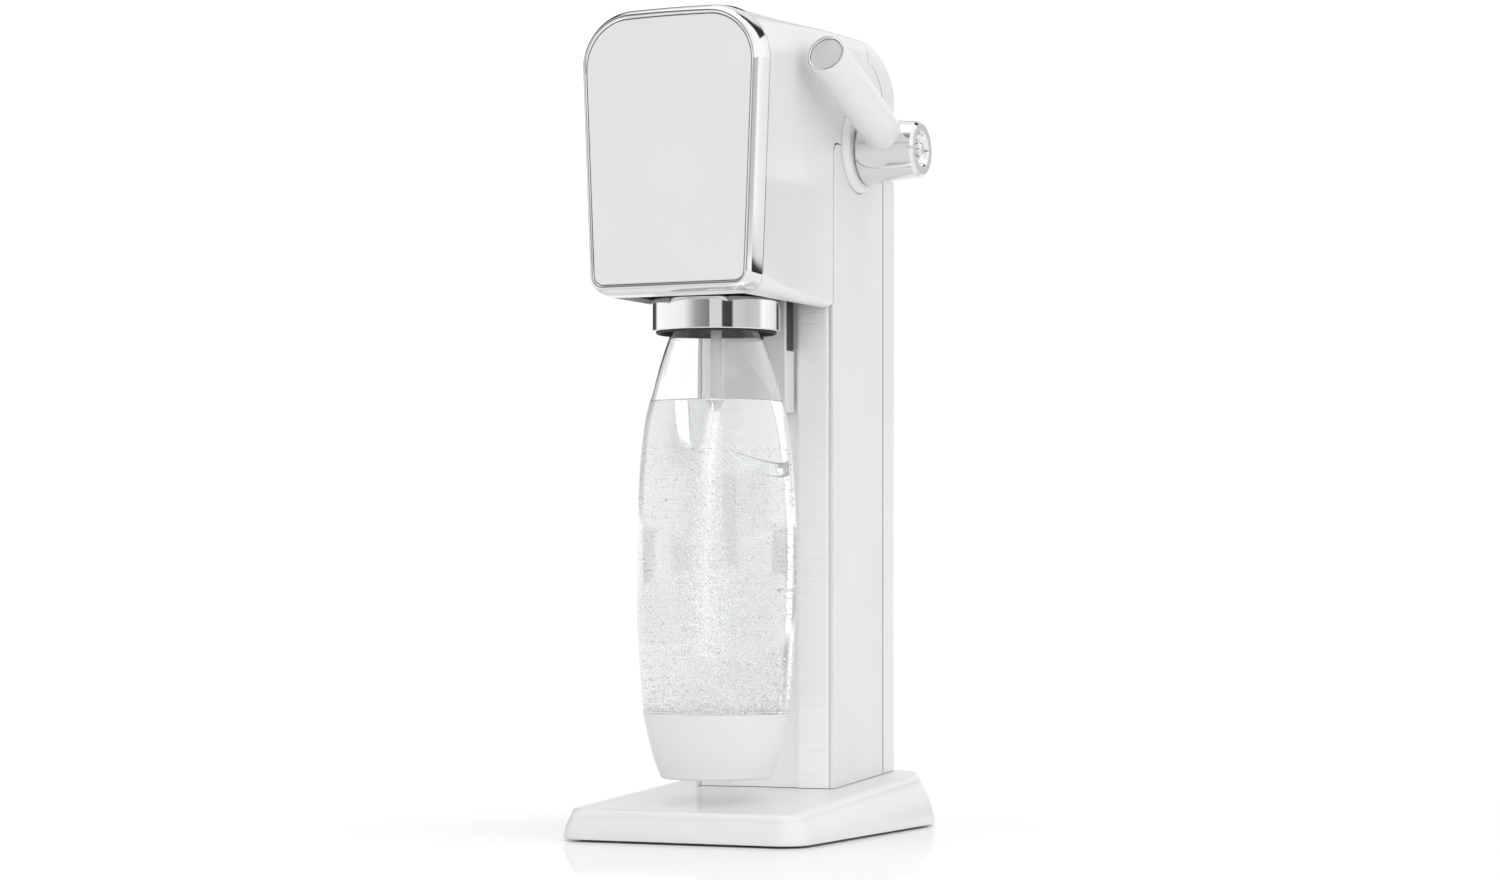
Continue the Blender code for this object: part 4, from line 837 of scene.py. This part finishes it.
def make_bottle():
    """Clear bottle, its white foot cup and the water in it; returns the line of the water's side."""
    side = [(r * MM, z * MM) for r, z in BOTTLE_SIDE]
    body = [tuple(p) for p in smooth(side, 10)]
    neck = [(14 * MM, 281.5 * MM), (14 * MM, 275.8 * MM), (14.6 * MM, 274.6 * MM), (17.5 * MM, 272.6 * MM)]
    tuck = [(r * MM - 2.4 * MM, z * MM) for r, z in CUP_SIDE[:4]]
    hidden = [tuple(p) for p in smooth(tuck, 6)] + [(26 * MM, BOTTLE_FLOOR_Z)]
    outside = neck + body + hidden + [(0, BOTTLE_FLOOR_Z)]
    t = BOTTLE_WALL
    inside = [(0, BOTTLE_FLOOR_Z + t), (26 * MM - t, BOTTLE_FLOOR_Z + t)]
    inside += [(inner(r), z) for r, z in reversed(body + hidden[:-1])]
    inside += [(12.6 * MM, 273.0 * MM), (12 * MM, 274.5 * MM), (11.2 * MM, 276 * MM), (11 * MM, 281.5 * MM)]
    shell = add("bottle_fine", turned(outside + inside, BOTTLE_CENTRE, steps=160), "bottle", sharp=70)

    skirt = [tuple(p) for p in smooth([(r * MM, z * MM) for r, z in CUP_SIDE], 8)]
    foot = arc((27.6 * MM, 33.1 * MM), 2.2 * MM, -20, -90, 5)
    lining = [(0, 33.5 * MM), (26.2 * MM, 33.5 * MM)]
    lining += [(r * MM - 2.1 * MM, z * MM) for r, z in reversed(CUP_SIDE[:4])]
    base = [(22 * MM, 30.9 * MM), (20 * MM, 31.7 * MM), (0, 31.7 * MM)]
    lip = [(38.2 * MM, CUP_RIM_Z)]
    mesh = turned(skirt + foot + base + lining + lip, BOTTLE_CENTRE, steps=160)
    cup = add("bottle_cup_fine", mesh, "bottle_cup", sharp=50)

    wet = [(inner(r) + 0.06 * MM, z) for r, z in body if z < WATER_Z - 1.2 * MM]
    low = [(0, BOTTLE_FLOOR_Z + t - 0.05 * MM), (26 * MM - t, BOTTLE_FLOOR_Z + t - 0.05 * MM)]
    low += [(inner(r) + 0.06 * MM, z) for r, z in reversed(hidden[:-1])] + list(reversed(wet))
    rim = low[-1][0]
    surface = [(rim - 0.35 * MM, WATER_Z - 0.1 * MM), (rim - 0.9 * MM, WATER_Z - 0.55 * MM),
               (rim - 2.2 * MM, WATER_Z - 0.85 * MM), (rim - 6 * MM, WATER_Z - 0.95 * MM),
               (0, WATER_Z - 0.95 * MM)]
    water = add("bottle_water", turned(low + surface, BOTTLE_CENTRE, steps=160), [], "water", 60, "bottle")
    shell.visible_shadow = water.visible_shadow = cup.visible_shadow = False
    return wet


def radius_at(wet, z):
    """Radius of the water at a height."""
    for (r0, z0), (r1, z1) in zip(wet, wet[1:]):
        if z1 <= z <= z0:
            return r0 + (r1 - r0) * (z0 - z) / (z0 - z1)
    return wet[-1][0]


def balls(name, drops, detail, finish, hollow):
    """Many small balls in one mesh; hollow ones face inwards, as air does inside water."""
    template = bmesh.new()
    bmesh.ops.create_icosphere(template, subdivisions=detail, radius=1)
    points = [v.co.copy() for v in template.verts]
    faces = [[v.index for v in f.verts] for f in template.faces]
    template.free()
    if hollow:
        faces = [f[::-1] for f in faces]
    verts, polygons = [], []
    for x, y, z, size in drops:
        start = len(verts)
        verts += [(x + size * p.x, BOTTLE_CENTRE.y + y + size * p.y, z + size * p.z) for p in points]
        polygons += [[start + i for i in f] for f in faces]
    data = bpy.data.meshes.new(name)
    data.from_pydata(verts, [], polygons)
    made = place(name, data, [], finish, 180, "bottle")
    made.visible_shadow = False


def make_bubbles(wet):
    """Plume of gas under the nozzle, and bubbles and froth through the water, denser towards the bottom."""
    dice = random.Random(11)
    low, high = CUP_RIM_Z + 1.5 * MM, WATER_Z - 24 * MM

    def anywhere(lean):
        z = low + (high - low) * dice.random() ** lean
        wide = radius_at(wet, z) - 1.3 * MM
        share = math.sqrt(dice.random()) if dice.random() < 0.5 else 1 - 0.15 * dice.random() ** 2
        turn = dice.random() * math.tau
        return share * wide * math.cos(turn), share * wide * math.sin(turn), z

    coarse = [(*anywhere(1.7), (0.4 + 0.5 * dice.random() ** 2.4) * MM) for _ in range(1100)]
    fine = [(*anywhere(2.1), (0.2 + 0.2 * dice.random()) * MM) for _ in range(6500)]
    froth = []
    for spot in range(560):
        x, y, z = anywhere(0.9 if spot % 2 else 1.9)
        for _ in range(16):
            at = Vector((x + dice.gauss(0, 4.4) * MM, y + dice.gauss(0, 4.4) * MM,
                         z + dice.gauss(0, 2.2) * MM))
            if low < at.z < high and at.xy.length < radius_at(wet, at.z) - 1.2 * MM:
                froth.append((*at, (0.12 + 0.2 * dice.random() ** 2) * MM))
    plume = []
    for _ in range(5600):
        fall = dice.random() ** 1.5
        z = TIP_Z - 1.2 * MM - fall * 128 * MM
        wide = (1.5 + 17 * fall ** 0.85) * MM
        reach = abs(dice.gauss(0, 0.5)) * wide
        turn = dice.random() * math.tau
        sway = -4.5 * MM * math.sin(min(1, fall * 2.2) * math.pi / 2)
        size = (0.24 + 0.34 * dice.random() ** 2) * MM
        plume.append((sway + reach * math.cos(turn), reach * math.sin(turn), z, size))
    balls("bottle_bubbles_coarse", coarse, 2, "bubble_wall", True)
    balls("bottle_bubbles_fine", fine, 1, "bubble_wall", True)
    balls("bottle_froth", froth, 1, "foam", False)
    balls("bottle_plume", plume, 1, "foam", False)


def hollow(name, rings):
    """An air pocket in the water: a closed skin that faces inwards."""
    mesh = loft(rings)
    bmesh.ops.recalc_face_normals(mesh, faces=mesh.faces)
    bmesh.ops.reverse_faces(mesh, faces=mesh.faces)
    made = place(name, to_data(name, mesh), [], "bubble_wall", 60, "bottle")
    made.visible_shadow = False


def make_air_pockets(wet):
    """The pocket that the gas blows beside the nozzle, and the sheet of air that swirls along the wall."""
    across_view = Vector((math.cos(CAMERA_TURN), math.sin(CAMERA_TURN), 0))
    toward = Vector((math.sin(CAMERA_TURN), -math.cos(CAMERA_TURN), 0))
    middle = BOTTLE_CENTRE + across_view * -8.5 * MM
    top = WATER_Z - 1.3 * MM
    profile = smooth([(8.2, 0), (8.0, -4), (7.3, -13), (6.0, -20), (4.0, -24), (1.2, -25.6)], 5)
    turns = [math.tau * k / 48 for k in range(48)]
    ways = [across_view * math.cos(t) + 0.7 * toward * math.sin(t) for t in turns]
    rings = [[middle + r * MM * way + Vector((0, 0, top + h * MM)) for way in ways] for r, h in profile]
    hollow("gas_pocket", rings)

    line = smooth([(7, 202), (11, 199), (16, 196.5), (23, 193.8), (29, 192.6), (33, 192.4), (35.6, 193.4)], 6)
    rings = []
    for i, (x, z) in enumerate(line):
        t = i / (len(line) - 1)
        tall = (0.4 + 3.4 * math.sin(math.pi * min(1, t * 1.6 + 0.05) / 2)) * MM
        thick = (0.3 + 1.1 * t ** 0.5) * MM
        wall = radius_at(wet, z * MM) - 2.2 * MM
        depth = math.sqrt(max(0, wall ** 2 - (x * MM) ** 2))
        centre = BOTTLE_CENTRE + across_view * x * MM + toward * depth + Vector((0, 0, z * MM))
        outward = centre - BOTTLE_CENTRE
        outward.z = 0
        outward.normalize()
        rings.append([centre + outward * thick * math.cos(a) + Vector((0, 0, tall * math.sin(a)))
                      for a in [math.tau * k / 24 for k in range(24)]])
    hollow("gas_swirl", rings)


# ---------------------------------------------------------------- inner pieces

def make_insides():
    """Gas cylinder, valve, hose, spring and the other pieces inside the head and the column."""
    axis = Vector((0, HUB_CENTRE.y, 0))
    r, z0, z1 = extent("gas_cylinder")
    neck, start, tall = 14 * MM, 252.5 * MM, 32 * MM
    shoulder = [(neck + (r - neck) * math.cos(a), start + tall * math.sin(a))
                for a in [math.radians(6 * k) for k in range(14)]]
    side = [(0, z0 + 1.5 * MM), (r - 9 * MM, z0 + 1.5 * MM), (r - 7 * MM, z0), (r - 4 * MM, z0)]
    side += arc((r - 4 * MM, z0 + 4 * MM), 4 * MM, -80, 0, 6) + shoulder + [(neck, z1), (0, z1)]
    add("gas_cylinder_fine", turned(side, axis), "gas_cylinder", sharp=50)
    r, z0, z1 = extent("cylinder_valve")
    top = z1 - 3 * MM
    valve = [(0, z0), (9.6 * MM, z0), (9.6 * MM, 290.8 * MM), (r, 290.8 * MM), (r, 300 * MM),
             (r - 1.2 * MM, 301 * MM), (r - 1.2 * MM, 305 * MM), (r, 306 * MM), (r, top), (2 * MM, top),
             (2 * MM, z1), (0, z1)]
    add("cylinder_valve_fine", turned(rounded(valve, 0.4 * MM), axis), "cylinder_valve")
    r, z0, z1 = extent("cylinder_seat")
    seat = [(0, z0), (r, z0), (r, z1), (30.6 * MM, z1), (30.6 * MM, 8.7 * MM), (0, 8.7 * MM)]
    add("cylinder_seat_fine", turned(rounded(seat, 0.5 * MM), axis), "cylinder_seat")
    guide = [(20.4, 38, 334.5), (27, 37, 334.5), (32.5, 27, 331.5), (34.5, 4, 321.5), (35.5, -24, 309.5),
             (36.5, -42, 304), (35, -49.5, 303.5), (29.5, -50, 303.5)]
    tube("gas_hose_fine", [p * MM for p in smooth(guide, 10)], 2.75 * MM, "gas_hose")
    low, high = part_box("return_spring")
    wire = 0.6 * MM
    count, turns = 120, 3
    helix = []
    for i in range(count + 1):
        t = math.tau * turns * i / count
        level = low.z + wire + (high.z - low.z - 2 * wire) * i / count
        helix.append((5.6 * MM * math.cos(t), HUB_CENTRE.y + 5.6 * MM * math.sin(t), level))
    spring = tube("return_spring_fine", helix, wire, "return_spring", 12)
    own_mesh(spring)
    low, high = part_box("nozzle_body")
    body = [(0, 298.8 * MM), (3.65 * MM, 298.8 * MM), (3.65 * MM, low.z), (10 * MM, low.z),
            (13 * MM, low.z + 4 * MM), (13 * MM, high.z - 3 * MM), (10 * MM, high.z), (0, high.z)]
    add("nozzle_body_fine", turned(rounded(body, 0.6 * MM), BOTTLE_CENTRE), "nozzle_body")
    low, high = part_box("relief_valve")
    relief_valve = [(0, low.z), (5 * MM, low.z), (5 * MM, low.z + 5.7 * MM), (3.4 * MM, low.z + 6.7 * MM),
                    (3.4 * MM, high.z), (0, high.z)]
    add("relief_valve_fine", turned(rounded(relief_valve, 0.4 * MM), BOTTLE_CENTRE, steps=48), "relief_valve")
    for name in ("pivot_pin_left", "pivot_pin_right"):
        low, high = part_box(name)
        sleeve(name, 0, 4 * MM, (0, (low.y + high.y) / 2, (low.z + high.z) / 2), 0.5 * MM, 64)
    for name in ("bushing_left", "bushing_right"):
        sleeve(name, 5.1 * MM, 8 * MM, HUB_CENTRE, 0.4 * MM)
    low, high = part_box("push_rod")
    stem = [(0, low.z), (3.5 * MM, low.z), (3.5 * MM, high.z - 3.5 * MM), (7.2 * MM, high.z - 3.5 * MM),
            (7.2 * MM, high.z), (0, high.z)]
    add("push_rod_fine", turned(rounded(stem, 0.4 * MM), axis, steps=64), "push_rod")
    for name in ("chassis", "valve_block", "quick_connect_yoke"):
        softened(name, 0.5 * MM)


# ---------------------------------------------------------------- studio

FLOOR_HALF = 9
LAMP_TARGET = Vector((0, 0, 0.2))


def make_floor():
    """Plain pale floor under the feet, which fades into a white backdrop away from them."""
    mesh = bmesh.new()
    corners = [(-1, -1), (1, -1), (1, 1), (-1, 1)]
    mesh.faces.new([mesh.verts.new((FLOOR_HALF * x, FLOOR_HALF * y, CAD_BOX[0].z)) for x, y in corners])
    data = to_data("floor", mesh)
    floor = link("floor", data)
    made = new_material("floor", (0.965, 0.965, 0.965), 0.5, Specular_IOR_Level=0.0)
    tint(made, noise(made, 2, 2), (0.96, 0.96, 0.96), (0.97, 0.97, 0.97))
    tree = made.node_tree
    matt = tree.nodes["Principled BSDF"].outputs["BSDF"]
    sheen = node(tree, "BsdfAnisotropic", [("Roughness", 0.06)]).outputs["BSDF"]
    near = node(tree, "MixShader", [("Fac", 0.34), (1, matt), (2, sheen)]).outputs["Shader"]
    spot = node(tree, "TexCoord").outputs["Object"]
    reach = node(tree, "VectorMath", [(0, spot)], operation="LENGTH").outputs["Value"]
    fade = node(tree, "MapRange", [("Value", reach), ("From Min", 0.25), ("From Max", 0.9)],
                interpolation_type="SMOOTHSTEP").outputs["Result"]
    backdrop = node(tree, "Emission", [("Strength", 1.05)]).outputs["Emission"]
    both = node(tree, "MixShader", [("Fac", fade), (1, near), (2, backdrop)]).outputs["Shader"]
    tree.links.new(both, tree.nodes["Material Output"].inputs["Surface"])
    made.cycles.emission_sampling = "NONE"
    data.materials.append(made)


# The studio round the machine, as rings from the ground up. Each starts at a height in degrees above the
# horizon, and holds its brightness by bearing, in degrees from -Y towards +X. The dark stretches are screens,
# which the chrome mirrors and which draw in the edges of the bottle.
WHITE = 1.2
HIGH_SCREENS = [(-98, .04), (-90, 1), (-70, 1), (-60, .2), (-15, .3), (10, .6), (30, 1), (138, WHITE),
                (148, .04), (166, .04), (174, .9), (180, .9)]
RINGS = [
    (-90, [(-180, WHITE), (-107, WHITE), (-101, .05), (-77, .05), (-71, WHITE), (-46, 1), (-42, .5),
           (-12, .5), (-9, .6), (14, .8), (39, .8), (42, .06), (55, .06), (58, 1), (110, WHITE),
           (115, .03), (154, .03), (158, WHITE), (180, WHITE)]),
    (2.2, [(-180, 1.1), (-132, 1.1), (-128, .07), (-112, .07), (-103, WHITE), (-34, 1.05), (-12, .42),
           (13, .22), (14, .8), (34, .8), (36, .06), (53, .06), (56, .75), (84, .62), (106, .7),
           (116, WHITE), (157, .9), (162, .08), (174, .1), (180, 1)]),
    (9, [(-180, 1), (-150, 1), (-146, .05), (-112, .05), (-103, WHITE), (-60, 1), (-46, .2), (-4, .24),
         (20, .9), (45, .9), (60, WHITE), (140, WHITE), (160, .9), (180, 1)]),
    (18, [(-180, .9), (-168, .9), (-164, .04), (-98, .04), (-92, WHITE), (-60, 1), (-46, .2), (0, .24),
          (20, .9), (45, .9), (60, WHITE), (140, WHITE), (180, .9)]),
    (28, [(-180, .9), (-152, 1), (-147, .04)] + HIGH_SCREENS),
    (40, [(-180, .9), (-132, 1), (-126, .04)] + HIGH_SCREENS),
    (54, [(-180, 1), (-90, 1), (-80, .06), (-42, .06), (-36, .6), (10, .7), (30, 1), (145, WHITE),
          (150, .05), (168, .05), (180, .9)]),
]
RING_EDGE = 0.8                                         # degrees over which one ring gives way to the next
CEILING, CEILING_START, CEILING_EDGE = 2.5, 62, 6       # brightness; degrees


def make_world():
    """A white studio with grey screens for the chrome and the bottle; the camera itself sees plain white."""
    world = bpy.data.worlds.new("studio")
    bpy.context.scene.world = world
    world.use_nodes = True
    tree = world.node_tree
    tree.nodes.clear()

    def angle(operation, *sources):
        return node(tree, "Math", list(enumerate(sources)), operation=operation).outputs[0]

    def share(source, reach):
        limits = [("Value", source), ("From Min", -reach), ("From Max", reach)]
        return node(tree, "MapRange", limits).outputs["Result"]

    def above(start, edge, lower, upper):
        mask = ramp(tree, height, [((start + 90) / 180, (0, 0, 0)), ((start + 90 + edge) / 180, (1, 1, 1))])
        inputs = [("Fac", mask), ("Color1", lower), ("Color2", upper)]
        return node(tree, "MixRGB", inputs).outputs[0]

    def light(colour, strength):
        inputs = [("Color", colour), ("Strength", strength)]
        return node(tree, "Background", inputs).outputs["Background"]

    way = node(tree, "TexCoord").outputs["Generated"]
    x, y, z = node(tree, "SeparateXYZ", [("Vector", way)]).outputs
    turn = share(angle("ARCTAN2", x, angle("MULTIPLY", y, -1)), math.pi)
    height = share(angle("ARCSINE", z), math.pi / 2)
    colour = None
    for start, stops in RINGS:
        around = ramp(tree, turn, [((bearing + 180) / 360, (grey, grey, grey)) for bearing, grey in stops])
        colour = above(start, RING_EDGE, colour, around) if colour else around
    colour = above(CEILING_START, CEILING_EDGE, colour, (CEILING, CEILING, CEILING, 1))
    room, seen = light(colour, 1.03), light((1, 1, 1, 1), 1.1)
    camera_ray = node(tree, "LightPath").outputs["Is Camera Ray"]
    both = node(tree, "MixShader", [("Fac", camera_ray), (1, room), (2, seen)]).outputs["Shader"]
    node(tree, "OutputWorld", [("Surface", both)])


def area_light(name, place, size, power):
    """A soft lamp that faces the middle of the machine."""
    data = bpy.data.lights.new(name, "AREA")
    data.shape = "RECTANGLE"
    data.size, data.size_y = size
    data.energy = power
    lamp = link(name, data)
    lamp.location = place
    lamp.rotation_euler = (LAMP_TARGET - Vector(place)).to_track_quat("-Z", "Y").to_euler()
    lamp.visible_glossy = lamp.visible_transmission = False


def make_camera():
    """The camera at the photograph's viewing angle."""
    data = bpy.data.cameras.new("camera")
    camera = link("camera", data)
    data.sensor_width = 36
    data.lens = 81.6
    data.shift_y = 0.0985
    data.clip_start, data.clip_end = 0.05, 60
    camera.location = (0.7651, -1.6709, 0.1312)
    camera.rotation_euler = (math.radians(90), 0, CAMERA_TURN)
    bpy.context.scene.camera = camera


def make_studio():
    """Floor, world, lamps, camera and the plain view transform."""
    make_floor()
    make_world()
    area_light("key", (-1.9, -1.7, 1.5), (1.6, 1.6), 9)
    area_light("fill", (0.7, -2.5, 0.25), (1.8, 0.5), 12)
    area_light("side", (2.2, -1.6, 0.4), (1.6, 1.2), 5)
    make_camera()
    scene = bpy.context.scene
    scene.view_settings.view_transform = "Standard"
    scene.cycles.max_bounces = 24
    scene.cycles.transmission_bounces = 24
    scene.cycles.transparent_max_bounces = 24


def finish_leftovers():
    """Every CAD node that still shows takes the finished material of its slot."""
    for name, item in frame["nodes"].items():
        if not item.hide_render:
            item.data.materials.clear()
            item.data.materials.append(MATERIALS[SLOT_OF[name]])


def main():
    make_base()
    make_column()
    make_rear_cover()
    make_head()
    make_lever()
    make_carrier()
    wet = make_bottle()
    make_bubbles(wet)
    make_air_pockets(wet)
    make_insides()
    finish_leftovers()
    make_studio()


main()
